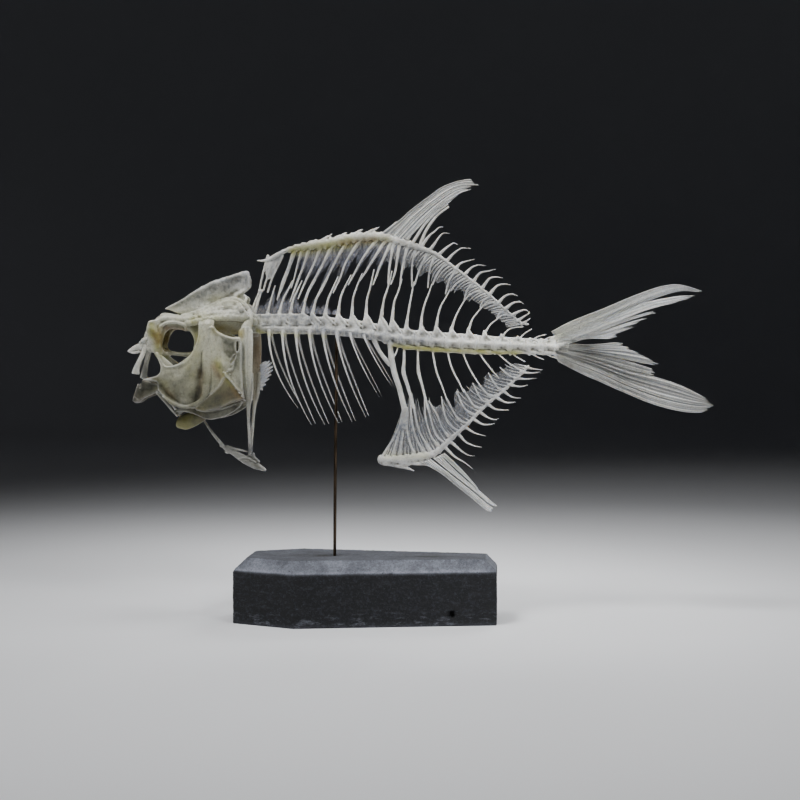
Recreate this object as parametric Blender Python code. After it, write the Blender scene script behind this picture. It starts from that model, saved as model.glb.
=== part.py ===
"""Mounted skeleton of a golden pompano, 300 mm long, on its rod and its cast concrete base.

Lengths are in millimetres. X runs from the snout (-X) to the tail (+X), Z is up and Y runs to the
fish's right side, so the flat of the fish is the XZ plane. The origin is the centre of the base's
underside. Each bone or row of joined bones is one object.
"""

import bmesh
import bpy
import numpy as np

MM = 0.001
GAP = 0.35                      # left between bones that meet
COLUMN_GAP = 0.5                # left where the backbone is parted, in place of a disc

# ---- stand ----
BASE_HEIGHT = 33.0
BASE_CHAMFER_Z = 27.0
BASE_FOOT_PLAN = [(-66.5, 18.0), (-34.0, 32.0), (66.5, 15.0)]   # x, half depth
BASE_TOP_PLAN = [(-60.0, 13.5), (-37.0, 25.0), (61.0, 11.0)]
ROD_RADIUS = 0.8
ROD_FOOT_X = -16.8
ROD_TOP_X = -15.7

# ---- backbone ----
TRUNK_LAST = 9                  # last vertebra of each length that the column is parted into
TAIL_FRONT_LAST = 16
BEFORE_HAEMAL = 10              # vertebrae ahead of the first one with a spine below it
VERTEBRA_COUNT = 21             # free ones; the last three are fused into the tail plate
VERTEBRA_KNOTS = [1, 11, 14, 19, 21]
VERTEBRA_X = [-58.8, 13.1, 35.3, 76.7, 92.0]
COLUMN_X = [-60, -20, -4, 17, 37, 58, 78, 94]
COLUMN_Z = [149.2, 148.6, 147.0, 144.1, 142.4, 141.2, 140.3, 139.6]
COLUMN_RADIUS = [2.7, 2.7, 2.9, 3.2, 3.2, 3.1, 2.8, 2.6]
WAIST = 0.74                    # narrowest part of a vertebra, as a share of its ends

# neural spines: how far the tip lies behind the root, and its height, by vertebra number
NEURAL_KNOTS = [1, 3, 6, 9, 12, 14, 16, 17, 18, 21]
NEURAL_LEAN = [3.0, 5.6, 7.6, 5.4, 5.2, 10.4, 9.6, 8.6, 9.6, 7.2]
NEURAL_TIP_Z = [167.2, 173.4, 174.4, 177.2, 174.4, 169.4, 162.4, 155.4, 149.9, 144.6]
# haemal spines 2 to 11, the same way; the first one is a stout prop of its own
HAEMAL_KNOTS = [2, 3, 4, 5, 6, 7, 8, 9, 11]
HAEMAL_LEAN = [6.6, 6.6, 8.6, 8.4, 10.0, 10.4, 10.6, 8.4, 8.2]
HAEMAL_TIP_Z = [104.8, 109.2, 112.6, 117.6, 119.4, 124.0, 129.6, 132.4, 132.6]

# ---- ribs ----
RIB_COUNT = 8
RIB_FIRST_X = -48.6
RIB_LAST_X = -1.6
RIB_TIP_Z = [108.5, 99.9, 99.9, 100.9, 101.5, 104.0, 114.1, 118.6]
RIB_SWEEP = 14.6                # how far a rib's tip lies behind its root
RIB_BOW = 8.2                   # how far it bows out to the side
RIB_RAIL_Y = 3.7

# ---- fin supports: upper edge of the dorsal ridge, middle line of the anal one ----
DORSAL_RIDGE = [(-41.2, 189.4), (-34.5, 192.2), (-19.0, 194.6), (4.0, 196.8), (19.4, 192.9),
                (34.7, 188.2), (51.4, 177.5), (70.2, 163.2), (80.3, 154.1), (82.6, 150.6)]
DORSAL_SPLIT_X = 22.0
# where the supports between the neural spines reach the ridge, by vertebra number
SHAFT_KNOTS = [2.5, 4.5, 6.2, 7.2, 9.1, 11, 12, 14, 16, 18]
SHAFT_TOP_X = [-38.0, -22.0, -4.7, 2.2, 11.4, 23.5, 30.5, 50.5, 66.0, 79.0]
# and those between the haemal spines, by haemal spine number
ANAL_SHAFT_KNOTS = [2, 3, 4, 5, 6, 7, 8]
ANAL_SHAFT_FOOT_X = [30.0, 40.0, 49.5, 58.0, 65.0, 73.0, 79.5]
ANAL_RIDGE = [(6.8, 81.6), (17.0, 80.4), (28.0, 81.4), (36.5, 85.2), (45.2, 92.6), (57.6, 104.2),
              (71.8, 116.6), (82.6, 129.6)]

BONE = (0.78, 0.77, 0.70)
PALE_BONE = (0.70, 0.72, 0.74)
FATTY_BONE = (0.62, 0.58, 0.36)
CONCRETE = (0.17, 0.17, 0.20)
BRONZE = (0.20, 0.16, 0.12)


# ---------------------------------------------------------------- helpers

def clear_scene():
    for leftover in list(bpy.data.objects):
        bpy.data.objects.remove(leftover)


def material(name, colour, roughness, metallic=0.0):
    made = bpy.data.materials.new(name)
    made.use_nodes = True
    shader = made.node_tree.nodes["Principled BSDF"]
    shader.inputs["Base Color"].default_value = (*colour, 1.0)
    shader.inputs["Roughness"].default_value = roughness
    shader.inputs["Metallic"].default_value = metallic
    return made


def spline(points, count):
    """Points evenly placed by knot number on a smooth curve through the given ones."""
    knots = np.asarray(points, float)
    slopes = np.gradient(knots, axis=0)
    at = np.linspace(0, len(knots) - 1, count)
    k = np.minimum(at.astype(int), len(knots) - 2)
    t = (at - k)[:, None]
    return ((2 * t**3 - 3 * t**2 + 1) * knots[k] + (t**3 - 2 * t**2 + t) * slopes[k]
            + (3 * t**2 - 2 * t**3) * knots[k + 1] + (t**3 - t**2) * slopes[k + 1])


def lifted(points, y=0.0):
    """(x, z) points of the fish's flat plane as (x, y, z)."""
    flat = np.asarray(points, float)
    return np.stack([flat[:, 0], np.broadcast_to(y, len(flat)), flat[:, 1]], axis=1)


def loft(rings):
    """Closed body through rings of the same number of points."""
    rings = np.asarray(rings, float)
    count, sides = rings.shape[:2]
    faces = []
    for start in range(0, (count - 1) * sides, sides):
        for k in range(sides):
            after = (k + 1) % sides
            faces.append([start + k, start + after, start + sides + after, start + sides + k])
    faces.append(list(range(sides)))
    faces.append([(count - 1) * sides + k for k in range(sides)])
    return rings.reshape(-1, 3), faces


def bar(points, widths, depths, sides=4):
    """Tapering bar along points: half widths lie across it in the fish's plane, half depths along Y."""
    path = np.asarray(points, float)
    if path.shape[1] == 2:
        path = lifted(path)
    along = np.gradient(path, axis=0)
    along /= np.linalg.norm(along, axis=1, keepdims=True)
    deep = np.array([0.0, 1.0, 0.0]) - along * along[:, 1:2]
    deep /= np.linalg.norm(deep, axis=1, keepdims=True)
    wide = np.cross(deep, along)
    angle = 2 * np.pi * (np.arange(sides) + 0.5) / sides
    reach = 1 / np.cos(np.pi / 4) if sides == 4 else 1.0
    widths = np.broadcast_to(widths, len(path))[:, None, None] * reach
    depths = np.broadcast_to(depths, len(path))[:, None, None] * reach
    rings = (path[:, None] + wide[:, None] * widths * np.cos(angle)[None, :, None]
             + deep[:, None] * depths * np.sin(angle)[None, :, None])
    return loft(rings)


def plate(outline, thickness, y=0.0, slope=0.0, slope_from=0.0):
    """Flat plate with an (x, z) outline. Its plane lies at y, moving by slope for each mm of x."""
    flat = np.asarray(outline, float)
    middle = y + slope * (flat[:, 0] - slope_from)
    return loft([lifted(flat, middle - thickness / 2), lifted(flat, middle + thickness / 2)])


def sheet(grid, thickness):
    """Curved plate over a grid of (x, y, z) points, with its thickness laid along Y."""
    grid = np.asarray(grid, float)
    rows, columns = grid.shape[:2]
    half = np.zeros_like(grid)
    half[..., 1] = np.broadcast_to(thickness, (rows, columns)) / 2
    points = np.concatenate([(grid - half).reshape(-1, 3), (grid + half).reshape(-1, 3)])
    index = np.arange(rows * columns).reshape(rows, columns)
    back = rows * columns
    faces = []
    for r in range(rows - 1):
        for c in range(columns - 1):
            quad = [index[r, c], index[r, c + 1], index[r + 1, c + 1], index[r + 1, c]]
            faces.append(quad)
            faces.append([back + i for i in reversed(quad)])
    rim = [*index[0, :], *index[1:, -1], *index[-1, -2::-1], *index[-2:0:-1, 0]]
    for a, b in zip(rim, rim[1:] + rim[:1]):
        faces.append([a, b, back + b, back + a])
    return points, faces


def ruled(edge_a, edge_b, columns, y=0.0):
    """Grid of points between two edges that hold the same number of (x, z) points."""
    share = np.linspace(0, 1, columns)[None, :, None]
    a = lifted(edge_a, y)[:, None]
    b = lifted(edge_b, y)[:, None]
    return a * (1 - share) + b * share


def mirrored(shape):
    points, faces = shape
    return points * [1, -1, 1], faces


def mesh_object(name, shape):
    points, faces = shape
    mesh = bpy.data.meshes.new(name)
    mesh.from_pydata((np.asarray(points) * MM).tolist(), [], [[int(i) for i in face] for face in faces])
    work = bmesh.new()
    work.from_mesh(mesh)
    bmesh.ops.recalc_face_normals(work, faces=work.faces)
    work.to_mesh(mesh)
    work.free()
    made = bpy.data.objects.new(name, mesh)
    bpy.context.scene.collection.objects.link(made)
    return made


def merged(shapes):
    """Several shapes in one mesh, still as separate bodies."""
    points = []
    faces = []
    start = 0
    for shape_points, shape_faces in shapes:
        points.append(shape_points)
        faces += [[i + start for i in face] for face in shape_faces]
        start += len(shape_points)
    return np.concatenate(points), faces


def node(name, shapes, look):
    """One object whose shapes are fused into a single body."""
    made = mesh_object(name, shapes[0])
    made.data.materials.append(look)
    if len(shapes) > 1:
        rest = mesh_object(name + "_rest", merged(shapes[1:]))
        rest.hide_render = True
        rest.display_type = "WIRE"
        fuse = made.modifiers.new("fuse", "BOOLEAN")
        fuse.operation = "UNION"
        fuse.solver = "EXACT"
        fuse.use_self = True
        fuse.object = rest
    return made


def both_sides(name, shapes, look):
    """The left bone, whose Y is negative, and its mirror image on the right."""
    node(name + "_left", shapes, look)
    node(name + "_right", [mirrored(shape) for shape in shapes], look)


# ---------------------------------------------------------------- stand

def stand_base(look):
    def ring(plan, z):
        front = [(x, -depth, z) for x, depth in plan]
        return front + [(x, depth, z) for x, depth in reversed(plan)]
    node("stand_base", [loft([ring(BASE_FOOT_PLAN, 0.0), ring(BASE_FOOT_PLAN, BASE_CHAMFER_Z),
                              ring(BASE_TOP_PLAN, BASE_HEIGHT)])], look)


def stand_rod(look):
    top = column_z(ROD_TOP_X) - column_radius(ROD_TOP_X) * WAIST - COLUMN_GAP
    foot = BASE_HEIGHT + GAP
    node("stand_rod", [bar([(ROD_FOOT_X, foot), (ROD_TOP_X, top)], ROD_RADIUS, ROD_RADIUS, 10)], look)


# ---------------------------------------------------------------- backbone

def vertebra_x(number):
    return float(np.interp(number, VERTEBRA_KNOTS, VERTEBRA_X))


def column_z(x):
    return float(np.interp(x, COLUMN_X, COLUMN_Z))


def column_radius(x):
    return float(np.interp(x, COLUMN_X, COLUMN_RADIUS))


def centra(first, last):
    """Spool-shaped vertebral bodies in one row: wide at their ends, narrow at their waists."""
    path = []
    radii = []
    for number in range(first, last + 1):
        middle = vertebra_x(number)
        start = (vertebra_x(number - 1) + middle) / 2 if number > 1 else middle - 0.7
        if number == first and first > 1:
            start += COLUMN_GAP / 2
        path += [(start, column_z(start)), (middle, column_z(middle))]
        radii += [column_radius(start), column_radius(middle) * WAIST]
    end = (vertebra_x(last) + vertebra_x(min(last + 1, VERTEBRA_COUNT))) / 2
    end = end - COLUMN_GAP / 2 if last < VERTEBRA_COUNT else vertebra_x(last) + 3.6
    path.append((end, column_z(end)))
    radii.append(column_radius(end))
    return bar(path, radii, radii, 8)


def neural_spine(number):
    """Arch over the nerve cord, drawn out into a spine that leans towards the tail."""
    root_x = vertebra_x(number) + (2.4 if number == 1 else 0.6)
    floor_z = column_z(root_x)
    lean = float(np.interp(number, NEURAL_KNOTS, NEURAL_LEAN))
    tip_z = float(np.interp(number, NEURAL_KNOTS, NEURAL_TIP_Z))
    arch_z = floor_z + float(np.interp(number, [1, 8, 12, 17, 21], [7.6, 7.6, 6.8, 5.2, 3.4]))
    middle_z = arch_z + 0.5 * (tip_z - arch_z)
    points = [(root_x - 0.2, floor_z), (root_x, arch_z), (root_x + 0.36 * lean, middle_z),
              (root_x + lean, tip_z)]
    foot = float(np.interp(number, [1, 2, 10, 18, 21], [2.1, 2.75, 2.75, 2.4, 1.8]))
    return bar(points, [foot, 0.75, 0.6, 0.45], [2.2, 0.7, 0.5, 0.45])


def first_neural_struts():
    """The first arch carries two thin struts that meet under the predorsal bones."""
    return [bar([(-58.4, 151.0), (-58.4, 157.5), (-54.9, 167.2)], [0.9, 0.6, 0.5], [1.2, 0.6, 0.5])]


def haemal_spine(number):
    """Spine below the tail, under vertebra number + 10."""
    above = vertebra_x(number + BEFORE_HAEMAL)
    root_x = above - float(np.interp(number, [2, 6, 11], [1.5, 1.9, 3.6]))
    roof_z = column_z(root_x)
    lean = float(np.interp(number, HAEMAL_KNOTS, HAEMAL_LEAN))
    tip_z = float(np.interp(number, HAEMAL_KNOTS, HAEMAL_TIP_Z))
    under_z = roof_z - column_radius(root_x) - 0.9
    middle_z = under_z + 0.5 * (tip_z - under_z)
    points = [(root_x, roof_z), (root_x + 0.1, under_z), (root_x + 0.34 * lean, middle_z),
              (root_x + lean, tip_z)]
    stout = float(np.interp(number, [2, 5, 11], [1.15, 0.65, 0.5]))
    return bar(points, [1.6, 0.8 * stout + 0.2, stout, 0.45], [1.9, 0.8, 0.55, 0.45])


def first_haemal():
    """Stout prop with two roots that runs down to the anal fin's first support."""
    front_root = bar([(4.6, 145.0), (5.6, 140.0), (7.6, 135.2), (12.6, 130.4)],
                     [1.6, 1.0, 1.2, 1.4], [1.8, 1.1, 1.0, 0.9])
    shaft = bar([(12.9, 144.0), (12.9, 139.0), (13.9, 131.0), (16.9, 119.8), (19.2, 107.0)],
                [1.6, 1.1, 1.9, 1.7, 1.6], [1.8, 1.2, 1.2, 1.0, 0.9])
    return [front_root, shaft]


def tail_plate():
    """Fused last vertebrae and hypural plate that carry the tail fin."""
    stem = bar([(93.0, 139.7), (98.0, 140.4), (103.0, 141.6)], [2.3, 1.9, 1.2], [2.0, 1.5, 0.9])
    fan = plate([(93.0, 140.5), (97.0, 144.6), (101.6, 147.2), (104.4, 141.6), (104.2, 140.6),
                 (102.6, 132.0), (97.5, 133.6), (93.0, 137.4)], 1.5)
    return [stem, fan]


def vertebrae(bone):
    trunk = [centra(1, TRUNK_LAST)]
    trunk += [neural_spine(n) for n in range(1, TRUNK_LAST + 1)] + first_neural_struts()
    node("trunk_vertebrae", trunk, bone)
    front = [centra(TRUNK_LAST + 1, TAIL_FRONT_LAST)]
    front += [neural_spine(n) for n in range(TRUNK_LAST + 1, TAIL_FRONT_LAST + 1)]
    front += [haemal_spine(n) for n in range(2, TAIL_FRONT_LAST - BEFORE_HAEMAL + 1)] + first_haemal()
    node("tail_vertebrae_front", front, bone)
    rear = [centra(TAIL_FRONT_LAST + 1, VERTEBRA_COUNT)]
    rear += [neural_spine(n) for n in range(TAIL_FRONT_LAST + 1, VERTEBRA_COUNT + 1)]
    rear += [haemal_spine(n - BEFORE_HAEMAL) for n in range(TAIL_FRONT_LAST + 1, VERTEBRA_COUNT + 1)]
    node("tail_vertebrae_rear", rear + tail_plate(), bone)


def rib(number):
    """Left rib: it leaves the column, bows out sideways and sweeps back to its tip."""
    step = (number - 1) / (RIB_COUNT - 1)
    root_x = RIB_FIRST_X + step * (RIB_LAST_X - RIB_FIRST_X)
    root_z = column_z(root_x) - 2.4
    bend = 1.6 - 0.5 * step
    share = np.array([0.0, 0.22, 0.48, 0.75, 1.0])
    x = root_x + RIB_SWEEP * share**bend
    z = root_z + share * (RIB_TIP_Z[number - 1] - root_z)
    y = -RIB_RAIL_Y - RIB_BOW * np.sin(np.pi * 0.8 * share)
    stout = 1.0 if number < 7 else 0.8
    return bar(np.stack([x, y, z], axis=1), np.array([0.9, 0.75, 0.7, 0.6, 0.45]) * stout,
               np.array([0.7, 0.6, 0.55, 0.5, 0.4]) * stout)


def ribs(bone):
    stations = np.linspace(RIB_FIRST_X - 3.0, RIB_LAST_X + 1.2, 5)
    path = [(x, -RIB_RAIL_Y, column_z(x) - 2.2) for x in stations]
    row = bar(path, 1.0, 0.75)
    both_sides("ribs", [row] + [rib(n) for n in range(1, RIB_COUNT + 1)], bone)


# ---------------------------------------------------------------- fins

def ridge_z(x):
    return float(np.interp(x, *np.transpose(spline(DORSAL_RIDGE, 46))))


def dorsal_ridge(first_x, last_x, count):
    """Thick edge that the fin rays and spines stand on: its upper side follows the ridge curve."""
    x = np.linspace(first_x, last_x, count)
    half = np.interp(x, [-41, -30, 5, 25, 60, 82], [1.3, 1.9, 2.2, 1.7, 1.3, 0.9])
    top = np.array([ridge_z(v) for v in x])
    line = np.stack([x, top - half * np.interp(x, [5, 50, 82], [1, 1.15, 1.3])], axis=1)
    return bar(line, half, np.interp(x, [-41, 5, 82], [1.2, 1.6, 0.9]))


def dorsal_shaft(place, stout=0.55):
    """Support between two neural spines. place is a vertebra number, such as 7.5 between 7 and 8."""
    before = int(place)
    share = place - before
    roots = [vertebra_x(n) + 0.6 for n in (before, before + 1)]
    leans = [float(np.interp(n, NEURAL_KNOTS, NEURAL_LEAN)) for n in (before, before + 1)]
    tip_z = float(np.interp(place, NEURAL_KNOTS, NEURAL_TIP_Z))
    low_z = tip_z - float(np.interp(place, [2, 6, 8, 12, 17], [10.0, 9.5, 4.0, 1.6, 0.6]))
    arch_z = column_z(roots[0]) + 7.0
    height = max(0.0, (low_z - arch_z) / (tip_z - arch_z))
    spine_x = [root + lean * height for root, lean in zip(roots, leans)]
    low_x = spine_x[0] * (1 - share) + spine_x[1] * share
    high_x = float(np.interp(place, SHAFT_KNOTS, SHAFT_TOP_X))
    high_z = ridge_z(high_x) - 2.0
    middle = (0.46 * low_x + 0.54 * high_x - 0.6, 0.5 * (low_z + high_z))
    return bar([(low_x, low_z), middle, (high_x, high_z)], [0.4, stout, stout + 0.15], [0.4, 0.5, 0.8])


def dorsal_web(first_x, last_x, count):
    """Thin web of bone under the ridge."""
    x = np.linspace(first_x, last_x, count)
    top = np.array([ridge_z(v) for v in x]) - 1.4
    deep = np.interp(x, [-40, -30, 5, 25, 45, 60, 76, 82], [4.0, 8.0, 7.0, 8.0, 7.0, 3.8, 3.4, 1.6])
    back = np.interp(x, [-40, 5, 40, 82], [3.2, 2.6, 2.0, 0.4])
    low = np.stack([x - back, top - deep], axis=1)
    return sheet(ruled(np.stack([x, top], axis=1), low, 2), 0.55)


def dorsal_spine(tip_x, tip_z):
    """Low blunt spine that leans back."""
    foot_x = tip_x - 9.5
    return bar([(foot_x, ridge_z(foot_x) - 1.4), (tip_x, tip_z)], [1.2, 0.4], [0.9, 0.4])


def short_ray(root, length, rise, curl):
    """Single fin ray that curves back from the ridge."""
    x, z = root
    points = [(x, z), (x + 0.46 * length, z + 0.62 * rise + curl), (x + length, z + rise)]
    return bar(points, [0.75, 0.5, 0.4], [0.7, 0.45, 0.4])


def dorsal_supports(bone):
    front = [dorsal_ridge(-41.0, DORSAL_SPLIT_X - GAP, 11), dorsal_web(-39.5, DORSAL_SPLIT_X - 1.6, 7)]
    front.append(dorsal_shaft(2.5, 0.95))
    front += [dorsal_shaft(p) for p in (3.5, 4.5, 5.6, 6.2, 6.6, 7.2, 7.6, 8.2, 8.6, 9.2, 9.6, 10.2)]
    front += [dorsal_spine(x, z) for x, z in [(-26.2, 194.9), (-18.0, 197.6), (-9.8, 198.7), (-1.6, 199.9)]]
    node("dorsal_supports_front", front, bone)
    rear = [dorsal_ridge(DORSAL_SPLIT_X, 82.4, 9), dorsal_web(DORSAL_SPLIT_X + 2.6, 81.6, 8)]
    rear += [dorsal_shaft(n + part) for n in range(11, 17) for part in (0.2, 0.6)]
    roots = np.linspace(28.0, 80.8, 13)
    for x in roots:
        length = float(np.interp(x, [28, 36, 55, 72, 81], [11.7, 9.8, 11.8, 9.0, 6.2]))
        rise = float(np.interp(x, [28, 36, 45, 60, 72, 81], [9.4, 5.0, 3.4, 3.6, 0.8, 1.2]))
        rear.append(short_ray((x - 0.8, ridge_z(x) - 1.0), length, rise + 0.4, 1.3))
    node("dorsal_supports_rear", rear, bone)


def dorsal_lobe(bone):
    """Raised front of the soft dorsal fin: a bundle of rays that narrows to a point."""
    leading = spline([(8.2, 198.2), (16.8, 203.6), (29.6, 215.6), (44.8, 223.1), (53.6, 224.9)], 7)
    trailing = spline([(26.0, 192.6), (29.8, 199.6), (37.2, 208.8), (45.4, 216.2), (56.2, 220.9)], 7)
    grid = ruled(leading, trailing, 4)
    for column in grid[0]:
        column[2] = max(ridge_z(column[0] - 1.5), ridge_z(column[0] + 1.5)) + GAP
    thick = np.interp(np.linspace(0, 1, 7), [0, 0.3, 1], [2.6, 1.6, 0.7])[:, None]
    node("dorsal_lobe", [sheet(grid, thick)], bone)


def anal_ridge_line(count):
    return spline(ANAL_RIDGE, count)


def anal_z(x):
    return float(np.interp(x, *np.transpose(anal_ridge_line(40))))


def anal_half(x):
    return float(np.interp(x, [6, 16, 28, 38, 60, 83], [2.0, 2.7, 2.3, 1.7, 1.25, 0.8]))


def anal_shaft(place, stout=0.5):
    """Support between two haemal spines, numbered as they are, that runs down to the ridge."""
    low_x = float(np.interp(place, ANAL_SHAFT_KNOTS, ANAL_SHAFT_FOOT_X))
    before = int(place)
    share = place - before
    tips = []
    for n in (before, before + 1):
        above = vertebra_x(n + BEFORE_HAEMAL)
        root = above - float(np.interp(n, [2, 6, 11], [1.5, 1.9, 3.6]))
        tips.append((root + float(np.interp(n, HAEMAL_KNOTS, HAEMAL_LEAN)),
                     float(np.interp(n, HAEMAL_KNOTS, HAEMAL_TIP_Z))))
    high = np.array(tips[0]) * (1 - share) + np.array(tips[1]) * share
    low = np.array([low_x, anal_z(low_x) + 0.4])
    middle = 0.5 * high + 0.5 * low + np.array([-0.9, -0.6])
    return bar([high, middle, low], [0.4, stout, stout + 0.2], [0.4, 0.5, 0.7])


def anal_supports(bone):
    line = anal_ridge_line(12)
    ridge_depths = np.interp(line[:, 0], [6, 40, 83], [1.7, 1.4, 0.8])
    ridge = bar(line, [anal_half(x) for x in line[:, 0]], ridge_depths)
    first = bar([(19.35, 107.0 - COLUMN_GAP), (19.9, 97.0), (19.3, 80.5)], [1.6, 2.0, 2.3], [0.9, 1.0, 1.2])
    apron = plate([(5.6, 82.4), (9.6, 88.6), (16.9, 97.6), (19.6, 97.0), (19.6, 81.0), (7.0, 81.0)], 0.8)
    rim = bar([(6.6, 83.0), (10.4, 88.4), (18.4, 97.8)], [0.9, 0.7, 0.7], [0.8, 0.7, 0.6])
    reach = np.linspace(26.0, 81.6, 9)
    top = np.array([(x, anal_z(x) + 0.3) for x in reach])
    height = np.interp(reach, [26, 40, 60, 76, 82], [9.0, 9.0, 8.0, 6.5, 2.4])
    web = sheet(ruled(top, top + np.stack([-0.42 * height, 0.8 * height], axis=1), 2), 0.55)
    shapes = [ridge, first, apron, rim, web]
    shapes += [bar([(21.8, 103.0), (23.6, 92.0), (27.4, 81.8)], [0.4, 0.6, 0.8], [0.4, 0.5, 0.7])]
    shapes += [anal_shaft(n + part) for n in range(2, 8) for part in (0.24, 0.62)]
    shapes += [bar([(x, 80.0), (x + 8.2, 75.8)], [1.2, 0.45], [1.0, 0.45]) for x in (11.6, 16.8)]
    for x in np.linspace(41.6, 81.6, 12):
        length = float(np.interp(x, [41, 50, 60, 76, 82], [14.0, 11.4, 9.4, 8.8, 6.6]))
        rise = float(np.interp(x, [41, 46, 52, 60, 72, 78, 82], [-10.2, -6.4, -2.2, -1.4, -1.0, 2.0, -1.0]))
        shapes.append(short_ray((x, anal_z(x)), length, rise, 0.3))
    node("anal_supports", shapes, bone)


def anal_lobe(bone):
    """Bundle of long rays below the front of the anal fin."""
    leading = spline([(24.6, 78.4), (33.0, 76.0), (44.9, 65.6), (55.1, 57.6), (63.6, 54.2)], 7)
    trailing = spline([(42.0, 85.2), (46.4, 78.0), (54.0, 70.2), (61.0, 62.2), (67.6, 57.0)], 7)
    grid = ruled(leading, trailing, 4)
    for column in grid[0]:
        x = column[0]
        column[2] = min(anal_z(x) - anal_half(x) * 1.35, anal_z(x - 3) - anal_half(x - 3)) - GAP
    thick = np.interp(np.linspace(0, 1, 7), [0, 0.3, 1], [2.2, 1.5, 0.7])[:, None]
    node("anal_lobe", [sheet(grid, thick)], bone)


def caudal_lobes(bone):
    """Two halves of the forked tail: the rays spread from the tail plate's hind edge."""
    upper_top = [(101.9, 152.0), (118.1, 158.5), (138.1, 168.0), (154.0, 171.5), (169.6, 167.4)]
    upper_low = [(105.0, 141.9), (123.1, 142.6), (137.6, 149.6), (151.0, 159.6), (168.6, 166.4)]
    grid = ruled(spline(upper_top, 8), spline(upper_low, 8), 4)
    grid[0] = lifted([(101.8, 148.0), (103.0, 146.0), (104.1, 144.0), (105.0, 142.0)])
    thick = np.interp(np.linspace(0, 1, 8), [0, 0.3, 1], [2.2, 1.3, 0.7])[:, None]
    lead = bar([(95.0, 147.6), (100.6, 150.4), (108.0, 154.2)], [0.5, 1.3, 1.6], [0.6, 0.9, 0.9])
    node("caudal_lobe_upper", [sheet(grid, thick), lead], bone)
    lower_low = [(103.1, 130.4), (123.2, 120.1), (143.0, 111.4), (160.0, 105.8), (176.9, 107.6)]
    lower_high = [(105.0, 140.9), (124.0, 140.4), (144.0, 132.4), (156.0, 121.0), (176.2, 109.6)]
    grid = ruled(spline(lower_high, 8), spline(lower_low, 8), 4)
    grid[0] = lifted([(105.0, 141.0), (104.6, 137.6), (103.9, 134.2), (103.1, 130.8)])
    lead = bar([(97.4, 130.9), (103.0, 129.2), (110.0, 126.4)], [0.5, 1.3, 1.6], [0.6, 0.9, 0.9])
    node("caudal_lobe_lower", [sheet(grid, thick), lead], bone)


def predorsal(bone):
    """Three thin bones in front of the dorsal fin, joined above and below, with a forward spike."""
    cap = bar([(-55.2, 184.2), (-50.4, 183.9), (-45.8, 185.8), (-42.5, 187.8)],
              [0.45, 1.2, 1.6, 1.2], [0.5, 0.8, 0.9, 0.8])
    foot = (-53.4, 167.9)
    struts = [bar([foot, (foot[0] + 0.4 * (top - foot[0]), 175.0), (top, 184.6)], [0.8, 0.6, 0.9], 0.5)
              for top in (-50.6, -47.2, -43.6)]
    node("predorsal", [cap] + struts, bone)


# ---------------------------------------------------------------- head

def skull_ring(x, low, high, half):
    """Six-cornered section of the skull, widest a little below its roof."""
    rise = high - low
    return [(x, -half * 0.45, high), (x, half * 0.45, high), (x, half, low + 0.66 * rise),
            (x, half * 0.62, low), (x, -half * 0.62, low), (x, -half, low + 0.66 * rise)]


def neurocranium(bone):
    """Braincase, roof over the eyes, snout block, eye floor bar and the tall crest, all one piece."""
    case = loft([skull_ring(*station) for station in [
        (-59.9, 146.4, 156.2, 4.2), (-64.0, 145.6, 160.6, 8.6), (-72.0, 144.6, 160.2, 11.4),
        (-81.0, 145.0, 159.0, 11.6), (-88.4, 146.6, 157.6, 10.6), (-90.6, 151.2, 156.8, 9.6),
        (-97.6, 152.0, 155.6, 8.6), (-103.6, 150.8, 157.0, 8.3), (-106.0, 141.0, 156.4, 8.0),
        (-110.8, 137.2, 153.6, 6.4), (-114.8, 137.4, 149.0, 4.2), (-116.6, 138.2, 143.0, 2.6)]])
    crest = plate([(-104.9, 159.2), (-96.8, 163.7), (-86.3, 170.4), (-81.1, 172.9), (-70.7, 176.2),
                   (-61.9, 178.5), (-60.4, 176.9), (-59.3, 173.9), (-59.9, 169.8), (-64.0, 165.7),
                   (-63.0, 163.6), (-64.6, 157.5), (-90.0, 154.6), (-97.2, 156.3)], 1.4)
    floor_bar = bar([(-110.0, 139.6), (-104.7, 136.6), (-90.6, 136.3), (-80.0, 147.0)],
                    [1.3, 1.05, 1.05, 1.3], [1.9, 1.5, 1.5, 1.9])
    brow_tooth = bar([(-90.2, 153.0), (-91.4, 147.4)], [1.3, 0.5], [1.2, 0.5])
    teeth = []
    for side in (-1, 1):
        shift = np.array([0.0, side * 7.4, 0.0])
        points, faces = brow_tooth
        teeth.append((points + shift, faces))
    node("neurocranium", [case, crest, floor_bar] + teeth, bone)


def jaws(bone):
    """Upper and lower jaw bones of each side. The right upper jaw hangs a little lower than the left."""
    premaxilla = bar([(-123.2, -1.0, 137.5), (-120.2, -1.6, 138.2), (-117.4, -2.6, 138.0)],
                     [0.5, 1.2, 1.7], [0.55, 0.8, 0.9])
    both_sides("premaxilla", [premaxilla], bone)
    for side, drop in ((-1, 0.0), (1, 2.4)):
        path = [(-116.2, side * 4.4, 140.1), (-115.3, side * 6.0, 136.6),
                (-116.2, side * 7.2, 132.4 - drop * 0.5), (-117.6, side * 8.4, 126.8 - drop)]
        name = "maxilla_left" if side < 0 else "maxilla_right"
        node(name, [bar(path, [0.8, 1.1, 1.3, 2.1], [0.7, 0.8, 0.7, 0.6])], bone)
    jaw = plate([(-115.8, 123.1), (-106.7, 121.0), (-107.3, 116.6), (-113.0, 112.9), (-117.5, 110.8),
                 (-121.6, 112.3), (-118.2, 121.0), (-116.9, 119.2)], 1.2, -0.85, -0.48, -121.6)
    both_sides("lower_jaw", [jaw], bone)


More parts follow.
